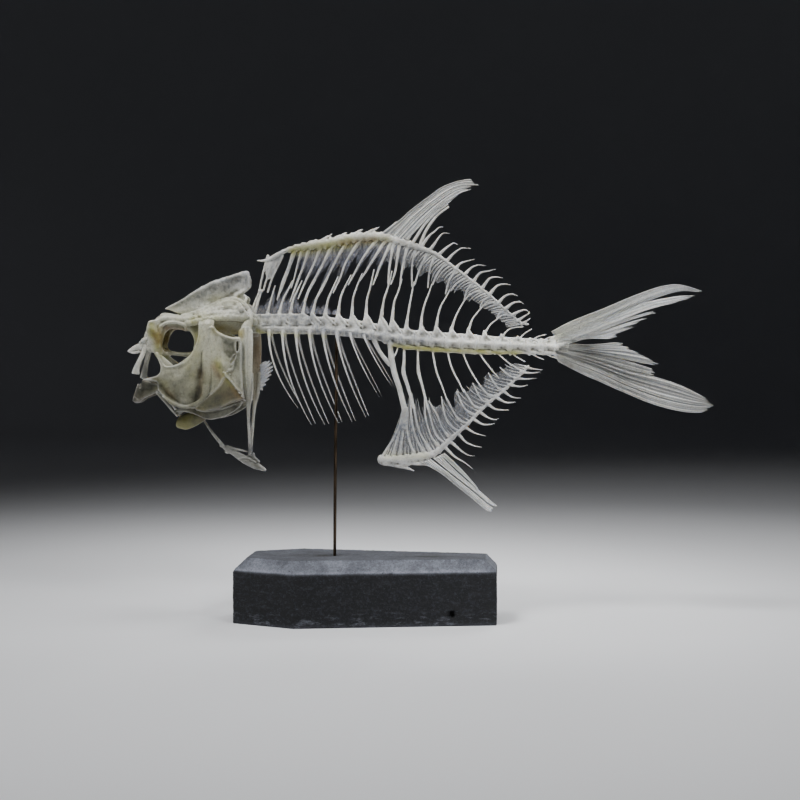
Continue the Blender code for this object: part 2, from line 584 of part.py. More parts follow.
def cheeks(bone, pale):
    """Palate arch and jaw support, then the gill cover's bones outside and behind it."""
    cheek = plate([(-106.6, 136.4), (-103.2, 131.8), (-98.6, 129.5), (-94.0, 130.0), (-90.4, 134.3),
                   (-87.8, 137.9), (-87.2, 143.0), (-86.4, 153.6), (-80.6, 153.6), (-80.1, 140.4),
                   (-81.1, 127.7), (-82.6, 115.0), (-85.2, 108.6), (-94.3, 108.6), (-102.0, 112.6),
                   (-106.1, 116.6), (-106.4, 121.6), (-113.6, 122.9), (-107.3, 124.4), (-104.6, 126.9),
                   (-104.6, 131.0)], 1.0, -8.2, -0.13, -114.0)
    both_sides("cheek", [cheek], bone)
    crescent = bar([(-82.2, -14.0, 150.0), (-80.6, -14.2, 133.0), (-80.2, -14.2, 120.0),
                    (-84.6, -13.8, 111.4), (-93.6, -12.7, 108.6), (-102.4, -11.6, 113.4)],
                   [1.5, 2.1, 2.3, 2.2, 1.5, 0.7], [0.6, 0.6, 0.6, 0.6, 0.55, 0.45])
    both_sides("preopercle", [crescent], bone)
    cover = plate([(-77.6, 147.6), (-75.6, 148.4), (-70.7, 145.4), (-63.6, 143.3), (-62.0, 140.3),
                   (-62.2, 132.8), (-62.0, 122.7), (-61.4, 114.0), (-66.2, 117.8), (-70.7, 122.4),
                   (-76.6, 117.6), (-77.5, 122.7), (-77.6, 135.3)], 0.9, -13.9, -0.02, -70.0)
    both_sides("opercle", [cover], bone)
    lower = plate([(-81.0, 112.9), (-77.2, 116.5), (-70.7, 121.6), (-66.1, 116.9), (-61.6, 112.8),
                   (-64.4, 110.6), (-71.0, 108.2), (-80.6, 106.8), (-82.2, 108.4)], 0.7, -13.2, 0.06, -82.0)
    both_sides("subopercle", [lower], pale)


def hyoids(bone, fatty):
    """Throat bones: a bar on each side with its thin forked strut, and the keel between them."""
    arch = bar([(-96.6, -1.9, 105.9), (-91.0, -3.8, 108.4), (-82.0, -8.6, 108.4), (-74.0, -10.2, 106.4),
                (-65.6, -10.8, 109.4)], [0.7, 1.5, 1.8, 2.2, 0.7], [0.5, 0.6, 0.6, 0.5, 0.45])
    strut = bar([(-106.8, -8.0, 115.4), (-102.4, -5.5, 110.4), (-96.6, -1.9, 104.8)], [1.1, 0.9, 0.8], 0.5)
    both_sides("hyoid", [arch, strut], bone)
    keel = loft([[(x, -half * 0.5, high), (x, half * 0.5, high), (x, half, low + 0.6 * (high - low)),
                  (x, half * 0.4, low), (x, -half * 0.4, low), (x, -half, low + 0.6 * (high - low))]
                 for x, low, high, half in [(-98.0, 98.2, 101.4, 1.6), (-95.6, 96.8, 104.2, 2.6),
                                            (-91.0, 97.6, 106.2, 2.9), (-86.6, 99.8, 106.0, 2.4),
                                            (-83.4, 102.6, 105.4, 1.6)]])
    node("urohyal", [keel], fatty)


def shoulder(bone, pale):
    """Shoulder blades of both sides, the stub of the right breast fin and the pelvic bones."""
    blade = bar([(-59.4, -10.4, 152.6), (-59.9, -11.9, 147.0), (-59.7, -12.4, 137.0), (-59.7, -12.2, 126.0),
                 (-59.7, -11.2, 115.0), (-58.9, -8.2, 106.0), (-59.5, -3.8, 94.0), (-60.4, -1.25, 85.0)],
                [1.6, 2.8, 2.5, 2.2, 2.0, 1.2, 0.8, 0.8], [0.6, 0.7, 0.7, 0.7, 0.7, 0.6, 0.55, 0.6])
    both_sides("cleithrum", [blade], bone)
    fin = plate([(-57.0, 130.3), (-52.3, 132.4), (-50.7, 130.3), (-51.8, 125.0), (-57.0, 116.1)],
                0.7, 12.4, 0.35, -57.0)
    node("pectoral_fin_right", [fin], pale)
    pelvis = bar([(-83.9, 101.5), (-79.4, 94.4), (-75.8, 89.6), (-70.2, 85.8), (-63.2, 83.0), (-57.6, 79.8),
                  (-52.9, 76.7)],
                 [0.6, 0.8, 1.5, 1.9, 2.8, 2.5, 0.7], [0.6, 0.8, 1.6, 2.2, 2.6, 2.2, 0.8], 6)
    node("pelvis", [pelvis], bone)


def build():
    clear_scene()
    bone = material("dry_bone", BONE, 0.55)
    pale = material("thin_bone", PALE_BONE, 0.5)
    fatty = material("fat_stained_bone", FATTY_BONE, 0.45)
    stand_base(material("cast_concrete", CONCRETE, 0.9))
    stand_rod(material("dark_metal_rod", BRONZE, 0.4, 1.0))
    neurocranium(bone)
    jaws(bone)
    cheeks(bone, pale)
    hyoids(bone, fatty)
    shoulder(bone, pale)
    vertebrae(bone)
    ribs(bone)
    predorsal(bone)
    dorsal_supports(bone)
    dorsal_lobe(bone)
    anal_supports(bone)
    anal_lobe(bone)
    caudal_lobes(bone)


build()
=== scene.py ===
import bpy
import numpy as np
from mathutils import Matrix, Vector


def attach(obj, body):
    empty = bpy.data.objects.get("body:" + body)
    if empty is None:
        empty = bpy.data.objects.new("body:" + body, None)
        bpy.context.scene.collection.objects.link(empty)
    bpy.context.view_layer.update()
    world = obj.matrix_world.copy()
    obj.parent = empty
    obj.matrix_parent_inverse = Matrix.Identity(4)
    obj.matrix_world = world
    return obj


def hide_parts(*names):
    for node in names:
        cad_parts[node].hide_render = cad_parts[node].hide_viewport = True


# lengths are in millimetres until a mesh is made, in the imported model's frame: x to the tail, z up,
# y to the fish's right side
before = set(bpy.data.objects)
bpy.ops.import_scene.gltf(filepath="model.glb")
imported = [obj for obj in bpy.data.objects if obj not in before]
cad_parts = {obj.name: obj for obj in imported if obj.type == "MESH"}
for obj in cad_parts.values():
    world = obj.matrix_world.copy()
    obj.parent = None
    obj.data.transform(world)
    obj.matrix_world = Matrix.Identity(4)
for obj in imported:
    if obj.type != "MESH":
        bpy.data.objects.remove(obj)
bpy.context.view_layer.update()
mm = 0.001
noTris = np.zeros((0, 3), int)
print("stage: frame loaded")


# the cubic through evenly numbered knots: two knots and their central differences, blended
def curveThrough(knots, count):
    knots = np.asarray(knots, float)
    slopes = np.gradient(knots, axis=0)
    at = np.linspace(0, len(knots) - 1, count)
    k = np.minimum(at.astype(int), len(knots) - 2)
    t = (at - k)[:, None]
    return ((2 * t**3 - 3 * t**2 + 1) * knots[k] + (t**3 - 2 * t**2 + t) * slopes[k]
            + (3 * t**2 - 2 * t**3) * knots[k + 1] + (t**3 - t**2) * slopes[k + 1])


# the same cubic closed on itself: the knots are repeated round both ends and the middle is kept
def closedCurve(knots, perKnot=4):
    knots = np.asarray(knots, float)
    wrapped = np.concatenate([knots[-2:], knots, knots[:3]])
    whole = curveThrough(wrapped, (len(wrapped) - 1) * perKnot + 1)
    return whole[2 * perKnot:(2 + len(knots)) * perKnot]


# points of the fish's flat plane, x and z, as x, 0 and z; points that have a y already stay as they are
def lift(flat):
    flat = np.asarray(flat, float)
    return flat if flat.shape[1] == 3 else np.insert(flat, 1, 0, axis=1)


# each vector divided by its length
def unit(vectors):
    return vectors / np.maximum(np.linalg.norm(vectors, axis=-1, keepdims=True), 1e-9)


# one number for all stations, or a few read off evenly along the length
def spread(values, count):
    values = np.atleast_1d(np.asarray(values, float))
    return np.interp(np.linspace(0, 1, count), np.linspace(0, 1, len(values)), values)


# evenly spaced angles once round, without the last
def angles(count):
    return 2 * np.pi * np.arange(count) / count


# a bell curve: exp(-(away / width)^2)
def bell(away, width):
    return np.exp(-(away / width) ** 2)


# a smooth wandering value from -1 to 1: the sum of sines of the position along fixed random directions
def wander(points, wavelength, seed=0, waves=7):
    rng = np.random.default_rng(seed)
    ways = unit(rng.normal(size=(waves, 3))) * rng.uniform(0.7, 1.5, (waves, 1))
    phase = rng.uniform(0, 2 * np.pi, waves)
    return np.sin(points @ ways.T * (2 * np.pi / wavelength) + phase).mean(axis=-1) * 1.8


# a shape is points, four-cornered faces and three-cornered faces. Points may have a fourth column, the number of the
# fin ray that they are on, which is 0 elsewhere
def joined(shapes):
    starts = np.cumsum([0] + [len(s[0]) for s in shapes[:-1]])
    columns = max(s[0].shape[1] for s in shapes)
    return (np.concatenate([np.pad(s[0], ((0, 0), (0, columns - s[0].shape[1]))) for s in shapes]),
            np.concatenate([s[1] + start for s, start in zip(shapes, starts)]),
            np.concatenate([s[2] + start for s, start in zip(shapes, starts)]))


# the other side of the fish: y changes sign, and the faces turn round with it
def mirrored(shape):
    return shape[0] * [1, -1, 1], shape[1][:, ::-1], shape[2][:, ::-1]


# closed body over rings of equal count: ring u, side v is one point, and a pole closes each end
def ringBody(rings, poles):
    count, sides = rings.shape[:2]
    index = np.arange(count * sides).reshape(count, sides)
    after = np.roll(index, -1, axis=1)
    quads = np.stack([index[:-1], after[:-1], after[1:], index[1:]], axis=-1).reshape(-1, 4)
    start = np.full(sides, count * sides)
    tris = np.concatenate([np.stack([after[0], index[0], start], axis=-1),
                           np.stack([index[-1], after[-1], start + 1], axis=-1)])
    return np.concatenate([rings.reshape(-1, 3), poles]), quads, tris


# profile along a path: point = path + wide way * wide * cos(v) + deep way * deep * sin(v), swollen by
# 1 + swell(u, v); both ends close as half an ellipsoid
def sweep(path, wide, deep=None, sides=10, swell=0.0):
    path = lift(path)
    count = len(path)
    along = unit(np.gradient(path, axis=0))
    deepWay = unit(np.array([0.0, 1.0, 0.0]) - along * along[:, 1:2])
    wideWay = np.cross(deepWay, along)
    wide = spread(wide, count)[:, None, None]
    deep = wide if deep is None else spread(deep, count)[:, None, None]
    angle = angles(sides)[:, None]
    offset = wideWay[:, None] * wide * np.cos(angle) + deepWay[:, None] * deep * np.sin(angle)
    offset = offset * (1 + np.broadcast_to(swell, (count, sides)))[..., None]
    reach = np.minimum(wide, deep)[[0, -1], 0, 0]
    tilt = np.radians([70, 35])[:, None, None]
    before = path[0] - along[0] * reach[0] * np.sin(tilt) + offset[0] * np.cos(tilt)
    beyond = path[-1] + along[-1] * reach[1] * np.sin(tilt[::-1]) + offset[-1] * np.cos(tilt[::-1])
    poles = np.stack([path[0] - along[0] * reach[0], path[-1] + along[-1] * reach[1]])
    return ringBody(np.concatenate([before, path[:, None] + offset, beyond]), poles)


# a rounded strut of bone through a few knots
def strut(knots, wide, deep=None, count=18, sides=10):
    return sweep(curveThrough(lift(knots), count), wide, deep, sides)


# the four-cornered faces between the points of a grid of point numbers
def quadsOf(index):
    return np.stack([index[:-1, :-1], index[1:, :-1], index[1:, 1:], index[:-1, 1:]], axis=-1)


# a closed thin sheet over a grid of points: both faces stand half the thickness off it along y, and share the
# points of its border
def sheetBody(grid, half, ray=None):
    count, across = grid.shape[:2]
    inner = np.zeros((count, across), bool)
    inner[1:-1, 1:-1] = True
    offset = (half * inner)[..., None] * [0, 1, 0]
    index = np.arange(count * across).reshape(count, across)
    back = index.copy()
    back[inner] = count * across + np.arange(inner.sum())
    points = np.concatenate([(grid - offset).reshape(-1, 3), (grid + offset)[inner]])
    quads = np.concatenate([quadsOf(index), quadsOf(back)[..., [0, 3, 2, 1]]]).reshape(-1, 4)
    facing = np.cross(np.diff(grid, axis=0)[:, :-1], np.diff(grid, axis=1)[:-1])[..., 1].sum()
    if ray is not None:
        spreadRay = np.broadcast_to(ray[:, None], (count, across))
        points = np.column_stack([points, np.concatenate([spreadRay.ravel(), spreadRay[inner]])])
    return points, quads[:, ::-1] if facing > 0 else quads, noTris


# a thin blade between two lines: point = line a * (1 - v) + line b * v, rounded off to nothing at every edge
def blade(lineA, lineB, thick, across=7):
    a, b = lift(lineA)[:, None], lift(lineB)[:, None]
    v = np.linspace(0, 1, across)
    u = np.linspace(0, 1, len(a))
    edge = np.minimum(np.minimum(u, 1 - u)[:, None] * len(a), np.minimum(v, 1 - v) * across) / 2
    v = v[:, None]
    return sheetBody(a * (1 - v) + b * v, 0.5 * thick * np.sqrt(np.clip(edge, 0, 1)))


# a fan of fin rays fused into one sheet. Point (u, v): v blends smoothly from guide line to guide line and u runs
# along them to the length share reach(v), which is shorter between two rays than on them, so the tip frays. The
# thickness is thick(u) * (floor + (1 - floor) * |sin(pi * rays * v)| * size of the ray), one swelling for each ray,
# and every ray splits in two past the middle and stands a little to its own side
def raySheet(guides, rays, thick, fray, y=0.0, along=60, per=5, floor=0.3, ends=(1, 1), seed=1):
    rng = np.random.default_rng(seed)
    across = rays * per + 1
    lines = np.stack([curveThrough(guide, along).ravel() for guide in guides])
    grid = curveThrough(lines, across).reshape(across, along, 2)
    v = np.linspace(0, 1, across)
    u = np.linspace(0, 1, along)
    number = np.minimum((v * rays).astype(int), rays - 1)
    crest = np.abs(np.sin(np.pi * rays * v))
    worn = fray * ((1 - crest) + rng.uniform(0, 1.2, rays)[number])
    reach = np.interp(v, np.linspace(0, 1, len(ends)), ends) * (1 - worn)
    at = reach[:, None] * u * (along - 1)
    k = np.minimum(at.astype(int), along - 2)
    t = (at - k)[..., None]
    rows = np.arange(across)[:, None]
    flat = grid[rows, k] * (1 - t) + grid[rows, k + 1] * t
    size = rng.uniform(0.55, 1.25, rays)[number][:, None]
    split = 1 - 0.35 * np.clip(3 * u - 1.2, 0, 1) * np.sin(np.pi * rays * v)[:, None] ** 6
    swelling = floor + (1 - floor) * crest[:, None] * size * split
    half = 0.5 * spread(thick, along) * swelling * np.clip((1 - u) * 12, 0, 1) ** 0.5
    bunches = np.arange(0, rays + 3, 2.6)  # two or three rays lean the same way
    bunch = np.interp(v * rays, bunches, rng.uniform(-1, 1, len(bunches)))
    own = (rng.uniform(-1, 1, rays)[number] * crest + 1.6 * bunch)[:, None]
    ripple = 0.10 * np.sin(2 * rays * v[:, None] + 2 * u) * u
    side = y + 0.28 * own * np.sin(np.pi * np.clip(u * 1.1, 0, 1)) + ripple
    return sheetBody(np.stack([flat[..., 0], side, flat[..., 1]], axis=-1), half, 1 + 40 * seed + v * rays)


# even-odd rule: a point is inside if a line to its right crosses the outline an odd number of times
def insideOf(points, outline):
    a, b = outline, np.roll(outline, -1, axis=0)
    x, z = points[:, 0:1], points[:, 1:2]
    rise = np.where(b[:, 1] == a[:, 1], 1e-9, b[:, 1] - a[:, 1])
    crossing = a[:, 0] + (z - a[:, 1]) * (b[:, 0] - a[:, 0]) / rise
    return (((a[:, 1] > z) != (b[:, 1] > z)) & (x < crossing)).sum(axis=1) % 2 == 1


# distance to a line of straight pieces, and the foot of it: each piece's foot is clamped to its ends
def nearestOn(points, line, closed=False):
    a = line if closed else line[:-1]
    step = (np.roll(line, -1, axis=0) if closed else line[1:]) - a
    share = ((points[:, None] - a) * step).sum(-1) / np.maximum((step**2).sum(-1), 1e-12)
    foot = a + np.clip(share, 0, 1)[..., None] * step
    away = np.linalg.norm(points[:, None] - foot, axis=-1)
    best = away.argmin(axis=1)
    rows = np.arange(len(points))
    return away[rows, best], foot[rows, best]


# raised lines (or grooves, when height is below 0): the sum of height * bell(distance, width)
def ridgeRelief(flat, ridges):
    total = np.zeros(len(flat))
    for line, height, width in ridges:
        away, _ = nearestOn(flat, curveThrough(line, 5 * len(line)))
        total += height * bell(away, width)
    return total


# a plate of bone over a grid of x and z, cut to its outline: cells whose middle is inside stay, the
# points on their border move to the nearest outline point, and the thickness falls to nothing there
# as a quarter circle does. follow is how far the inner face moves with the outer relief
def outlinePlate(outline, middle, thick, rim=0.5, cell=0.35, holes=(), ridges=(), follow=-0.6, rough=0.05):
    lines = [np.asarray(line, float) for line in (outline, *holes)]
    low, high = lines[0].min(axis=0) - cell, lines[0].max(axis=0) + cell
    ways = [np.arange(a, b + cell, cell) for a, b in zip(low, high)]
    nodes = np.stack(np.meshgrid(*ways, indexing="ij"), axis=-1)
    centres = (nodes[:-1, :-1] + nodes[1:, 1:]) / 2
    keep = insideOf(centres.reshape(-1, 2), lines[0])
    for hole in lines[1:]:
        keep &= ~insideOf(centres.reshape(-1, 2), hole)
    keep = keep.reshape(centres.shape[:2])
    touching = np.zeros(nodes.shape[:2], int)
    for i, j in ((0, 0), (0, 1), (1, 0), (1, 1)):
        touching[i:i + keep.shape[0], j:j + keep.shape[1]] += keep
    used = touching > 0
    flat = nodes[used]
    onBorder = touching[used] < 4
    found = [nearestOn(flat, line, True) for line in lines]
    away = np.stack([f[0] for f in found])
    foot = np.stack([f[1] for f in found])[away.argmin(axis=0), np.arange(len(flat))]
    flat = np.where(onBorder[:, None], foot, flat)
    inwards = np.where(onBorder, 0.0, np.maximum(away.min(axis=0), 0.25 * cell))
    share = np.clip(inwards / rim, 0, 1)
    half = 0.5 * thick * np.sqrt(share * (2 - share))
    base = middle(flat)
    full = np.stack([flat[:, 0], base, flat[:, 1]], axis=1)
    relief = (ridgeRelief(flat, ridges) + rough * wander(full, 2.2, 3) + 2 * rough * wander(full, 7.0, 4)) * share
    front, rear = full.copy(), full.copy()
    front[:, 1] = base - half - relief
    rear[:, 1] = base + half + follow * relief
    index = np.full(nodes.shape[:2], -1)
    index[used] = np.arange(len(flat))
    back = index.copy()
    back[used] = np.where(onBorder, np.arange(len(flat)), len(flat) + np.cumsum(~onBorder) - 1)
    quads = np.concatenate([quadsOf(index)[keep], quadsOf(back)[keep][:, [0, 3, 2, 1]]])
    return np.concatenate([front, rear[~onBorder]]), quads, noTris


# depth of a plate that stands in the fish's middle plane
def noDepth(flat):
    return 0 * flat[:, 0]


# a rounded lump: an ellipsoid that is lumpy by a wandering value
def lump(centre, radii, seed=1, rings=10, sides=16):
    theta = np.linspace(0, np.pi, rings + 2)[1:-1, None]
    phi = angles(sides)
    ball = np.stack([np.cos(theta) + 0 * phi, np.sin(theta) * np.cos(phi), np.sin(theta) * np.sin(phi)], axis=-1)
    ball = ball * (1 + 0.10 * wander(ball, 1.3, seed))[..., None]
    radii, centre = np.asarray(radii, float), np.asarray(centre, float)
    return ringBody(ball[::-1] * radii + centre, np.array([[-1, 0, 0], [1, 0, 0]]) * radii + centre)


# a mesh in metres of a shape's points and faces
def meshOf(name, shape):
    points, quads, tris = shape
    mesh = bpy.data.meshes.new(name)
    mesh.vertices.add(len(points))
    mesh.vertices.foreach_set("co", (points[:, :3] * mm).astype(np.float32).ravel())
    corners = np.concatenate([quads.ravel(), tris.ravel()]).astype(np.int32)
    mesh.loops.add(len(corners))
    mesh.loops.foreach_set("vertex_index", corners)
    mesh.polygons.add(len(quads) + len(tris))
    starts = np.concatenate([4 * np.arange(len(quads)), 4 * len(quads) + 3 * np.arange(len(tris))])
    mesh.polygons.foreach_set("loop_start", starts.astype(np.int32))
    mesh.polygons.foreach_set("use_smooth", np.ones(len(starts), bool))
    mesh.update(calc_edges=True)
    return mesh


# an object made of a mesh, a light or a camera, put in the scene
def placed(name, data):
    made = bpy.data.objects.new(name, data)
    bpy.context.scene.collection.objects.link(made)
    return made


# one value of every item in a mesh, such as its vertices' places, as an array with that many columns
def readAll(items, key, kind, columns=1):
    values = np.empty(len(items) * columns, kind)
    items.foreach_get(key, values)
    return values.reshape(-1, columns) if columns > 1 else values


# average of each point's neighbours minus the point, over the mesh's edges
def lean(points, edges):
    a, b = edges.T
    total = np.stack([np.bincount(a, points[b, k], len(points)) + np.bincount(b, points[a, k], len(points))
                      for k in range(points.shape[1])], axis=1)
    count = np.bincount(edges.ravel(), minlength=len(points))[:, None]
    return total / np.maximum(count, 1) - points


# shapes grown into one bone: a voxel skin over all of them, then rounds of smoothing that step forward
# by half the lean and back by a little more, so that thin struts keep their thickness
def grown(shapes, voxel=0.28, rounds=5):
    mesh = meshOf("raw", joined(shapes))
    carrier = placed("raw", mesh)
    skin = carrier.modifiers.new("skin", "REMESH")
    skin.mode = "VOXEL"
    skin.voxel_size = voxel * mm
    done = carrier.evaluated_get(bpy.context.evaluated_depsgraph_get()).to_mesh()
    points = readAll(done.vertices, "co", np.float32, 3).astype(float) / mm
    edges = readAll(done.edges, "vertices", np.int32, 2)
    totals = readAll(done.polygons, "loop_total", np.int32)
    corners = readAll(done.loops, "vertex_index", np.int32)
    starts = np.concatenate([[0], np.cumsum(totals)[:-1]])
    quads, tris = [corners[starts[totals == sides][:, None] + np.arange(sides)] for sides in (4, 3)]
    bpy.data.objects.remove(carrier)
    bpy.data.meshes.remove(mesh)
    for _ in range(rounds):
        points = points + 0.5 * lean(points, edges)
        points = points - 0.52 * lean(points, edges)
    return points, quads, tris


# colour zones of the whole skeleton as short lines in the fish's plane: x, z, x, z, radius, strength
tintZones = {
    "fat": [
        (-92, 142, -74, 132, 24, 0.48), (-102, 118, -76, 112, 13, 0.4), (-106.6, 148, -106.4, 136, 2.4, 0.75),
        (-109.8, 150.6, -108.3, 146, 2, 0.9), (-111.9, 147, -109.4, 145, 1.5, 0.5),
        (-105.7, 149, -102.2, 137.9, 1.5, 0.55), (-104.8, 146, -105.2, 135, 1.8, 0.9),
        (-87.2, 151, -86.2, 143, 2.2, 0.9), (-104.8, 120.6, -98.6, 112.4, 2.5, 0.8),
        (-107.4, 122.6, -102.2, 121.1, 2, 0.4), (-75.4, 148.6, -63.6, 146.6, 2.8, 0.85),
        (-75.4, 131.8, -71.9, 125.7, 2.5, 0.6), (-69.8, 122.6, -63.2, 115, 1.5, 0.8),
        (-56, 147.9, -51.9, 145.9, 1.3, 0.9), (-77.9, 163.2, -63.6, 163.1, 4.1, 0.4),
        (-86.2, 154.1, -58.5, 152, 3.1, 0.4), (-90.8, 148, -84.2, 109.9, 5.1, 0.28),
        (-54.2, 146.4, -19.1, 144.6, 1.3, 0.6), (-97, 98, -86, 103.6, 4, 0.7), (-38, 188.6, -10, 192.4, 3, 0.9),
        (-10, 192.9, 10, 194, 2.4, 0.6), (14, 139.7, 36, 137.9, 1.7, 0.95), (36, 137.9, 78, 136.2, 1.7, 0.95),
        (10, 84, 30, 84, 2, 0.3), (98, 146, 130, 160, 4, 0.34)],
    "brown": [
        (-105.4, 148, -103.6, 137.9, 1.6, 0.6), (-108.3, 146.5, -106.8, 141.9, 1.5, 0.5),
        (-102.1, 149, -92.9, 147.5, 1.5, 0.8), (-101.7, 117, -98.6, 114, 1.5, 0.7), (-83.2, 126.7, -84.2, 115, 2, 0.5),
        (-77, 129.7, -73.9, 124.7, 2, 0.5), (-74.6, 148.6, -63.6, 146.4, 2.8, 0.4),
        (-67.8, 118.6, -63.7, 114.5, 1.5, 0.5), (-71.4, 115, -64.7, 114, 2.5, 0.5),
        (-58.7, 143.3, -58.2, 130.3, 3.1, 0.6, 1), (-60, 148, -59.6, 112, 3.4, 0.3, 1),
        (-66, 118, -62.6, 113.4, 1.6, 0.5), (-14, 192.4, 4, 194.4, 1.4, 0.5), (-85, 103.6, -84.4, 101.8, 1.6, 0.7)],
    "cool": [
        (-38, 182, -2, 181, 8, 0.62), (-69, 141, -66, 131, 3.4, 0.6), (20, 184, 48, 168, 4.5, 0.75),
        (48, 168, 74, 152, 4.5, 0.65), (14, 94, 42, 100, 9, 0.8), (42, 102, 74, 126, 5.5, 0.75),
        (-94.2, 163.2, -63, 174.9, 6.1, 0.62), (-69.8, 142.9, -65.2, 133.8, 3.1, 0.6),
        (-56.3, 155.4, -29.1, 155, 1.6, 0.6), (-46, 184, -52, 172, 4, 0.5), (14, 96, 50, 108, 9, 0.4),
        (-118, 118, -110, 116, 3, 0.5), (120, 139, 140, 136, 5, 0.5), (160, 114, 176, 110, 5, 0.5),
        (-24, 147.6, 34, 142.4, 4.6, 0.62), (-60, 152, -24, 151, 5, 0.5), (-44, 116, 4, 120, 16, 0.62),
        (-80, 98, -50, 80, 5, 0.8), (-63, 140, -62, 112, 3, 0.45, -1), (-120, 132, -117, 126, 3, 0.4)],
    # dark: darker patches, partly marks on the bone and partly painted shade in recesses, under overhangs, on the lower
    # head and on the lower tail lobe
    "dark": [
        (-104, 111, -72, 110, 15, 0.78), (-96, 124, -84, 124, 8, 0.22), (-112, 144, -106, 140, 7, 0.2),
        (-120, 113, -108, 118.6, 6, 0.9), (-84, 102, -54, 76, 7, 0.8), (-68.4, 139.6, -66.2, 131, 3, 0.6),
        (-84, 104.4, -66, 108.6, 3, 0.55), (-60, 148, -59.6, 112, 3.4, 0.3, 1), (-69.8, 140.4, -65.2, 135.3, 2.5, 0.7),
        (-80.1, 168.8, -80.1, 168.3, 2.5, 0.4), (-73.3, 170.3, -67.1, 173.9, 2.5, 0.5),
        (-74.9, 164.2, -69.7, 165.7, 1.3, 0.7), (-80, 161.7, -76.9, 161.6, 1.5, 0.4),
        (-83.1, 129.7, -85.3, 112.5, 2.3, 0.6), (-78.1, 113.5, -64.7, 114.5, 4.1, 0.5),
        (-99.6, 132.8, -94.5, 130.7, 2, 0.4), (-118, 130, -115, 124, 2.5, 0.5, 1), (-74, 104, -66, 107.6, 2.2, 0.6),
        (-116, 118, -110, 117.4, 1.8, 0.45), (112, 137, 140, 129, 5.5, 0.88), (130, 124, 150, 117, 4, 0.5),
        (154, 117, 174, 111, 4.5, 0.45)],
}


# strength of a zone at a point: 1 - product of (1 - strength * bell(distance, radius)). A seventh number
# keeps the zone to the side of the fish whose y has its sign
def zoneStrength(points, zones):
    left = np.ones(len(points))
    for x0, z0, x1, z1, radius, strength, *side in zones:
        away, _ = nearestOn(points[:, [0, 2]], np.array([[x0, z0], [x1, z1]], float))
        here = (points[:, 1] * side[0] > 0) if side else 1.0
        left *= 1 - strength * bell(away, radius) * here
    return 1 - left


# how raised a point is: the mean curvature -2 * lean * normal / edge length^2, averaged over its neighbours, as
# 0.5 + 0.5 * tanh of it, so that flat is 0.5, rims and shafts are near 1 and creases near 0
def raisedness(mesh, points):
    edges = readAll(mesh.edges, "vertices", np.int32, 2)
    normals = readAll(mesh.vertex_normals, "vector", np.float32, 3)
    length = np.linalg.norm(points[edges[:, 0]] - points[edges[:, 1]], axis=1)
    touching = np.maximum(np.bincount(edges.ravel(), minlength=len(points)), 1)
    squares = np.bincount(edges.ravel(), np.repeat(length**2, 2), len(points)) / touching
    bend = -2 * (lean(points, edges) * normals).sum(axis=1) / np.maximum(squares, 1e-4)
    bend = np.clip(bend, -4, 4)[:, None]
    for _ in range(6):
        bend = bend + 0.6 * lean(bend, edges)
    return 0.5 + 0.5 * np.tanh(1.1 * bend[:, 0])


# keeps one number, or one colour, for every point of a mesh under a name that the materials read
def store(mesh, name, values, kind="FLOAT", key="value"):
    mesh.attributes.new(name, kind, "POINT").data.foreach_set(key, values.astype(np.float32).ravel())


# one finished piece: its mesh, material, what the materials read, and the solids that it stands in for
def makePiece(name, shape, look, *nodes, slotName="dry_bone"):
    mesh = meshOf(name, shape)
    mesh.materials.append(look)
    points = shape[0][:, :3]
    if shape[0].shape[1] == 4:
        store(mesh, "ray", shape[0][:, 3])
    # the tint zones are stains and marks, and their dark part is partly painted shade
    zones = np.stack([zoneStrength(points, tintZones[k]) for k in ("fat", "brown", "cool", "dark")], axis=1)
    store(mesh, "tint", zones, "FLOAT_COLOR", "color")
    # raised drives the painted shade in creases and the painted highlight on rims and shafts
    store(mesh, "raised", raisedness(mesh, points))
    piece = placed(name, mesh)
    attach(piece, "root")
    if nodes:
        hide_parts(*nodes)
    return piece


# a left bone and its mirror image
def bothSides(name, shape, look, slotName="dry_bone"):
    makePiece(name + "LeftBone", shape, look, name + "_left", slotName=slotName)
    makePiece(name + "RightBone", mirrored(shape), look, name + "_right", slotName=slotName)


# an sRGB hex colour as linear numbers: c / 12.92 below 0.04045, else ((c + 0.055) / 1.055)^2.4
def hexColour(text):
    c = np.array([int(text[i:i + 2], 16) for i in (0, 2, 4)]) / 255
    return (*np.where(c <= 0.04045, c / 12.92, ((c + 0.055) / 1.055) ** 2.4), 1.0)


# links or sets a node's inputs, given by name or number or in their order
def plug(tree, node, links):
    for socket, source in links.items() if isinstance(links, dict) else enumerate(links):
        if hasattr(source, "is_output"):
            tree.links.new(source, node.inputs[socket])
        else:
            node.inputs[socket].default_value = source


# adds a node, sets what it is given, plugs its inputs and gives its outputs
def addNode(tree, kind, links=(), **settings):
    node = tree.nodes.new("ShaderNode" + kind)
    for key, value in settings.items():
        setattr(node, key, value)
    plug(tree, node, links)
    return node.outputs


# an empty material, its nodes and its surface shader
def newMaterial(name):
    made = bpy.data.materials.new(name)
    made.use_nodes = True
    return made, made.node_tree, made.node_tree.nodes["Principled BSDF"]


# a colour built up in layers. Each layer is a hex colour, what it follows, that one's values from low to high, the
# amounts there, a mask that the amount is multiplied by, and how the colour is laid on
def layered(tree, ground, layers):
    colour = hexColour(ground)
    for shade, source, low, high, atLow, atHigh, mask, blend in layers:
        amount = addNode(tree, "MapRange", (source, low, high, atLow, atHigh))[0]
        if mask:
            amount = addNode(tree, "Math", (amount, mask), operation="MULTIPLY", use_clamp=True)[0]
        inputs = {0: amount, 6: colour, 7: hexColour(shade)}
        colour = addNode(tree, "Mix", inputs, data_type="RGBA", blend_type=blend)[2]
    return colour


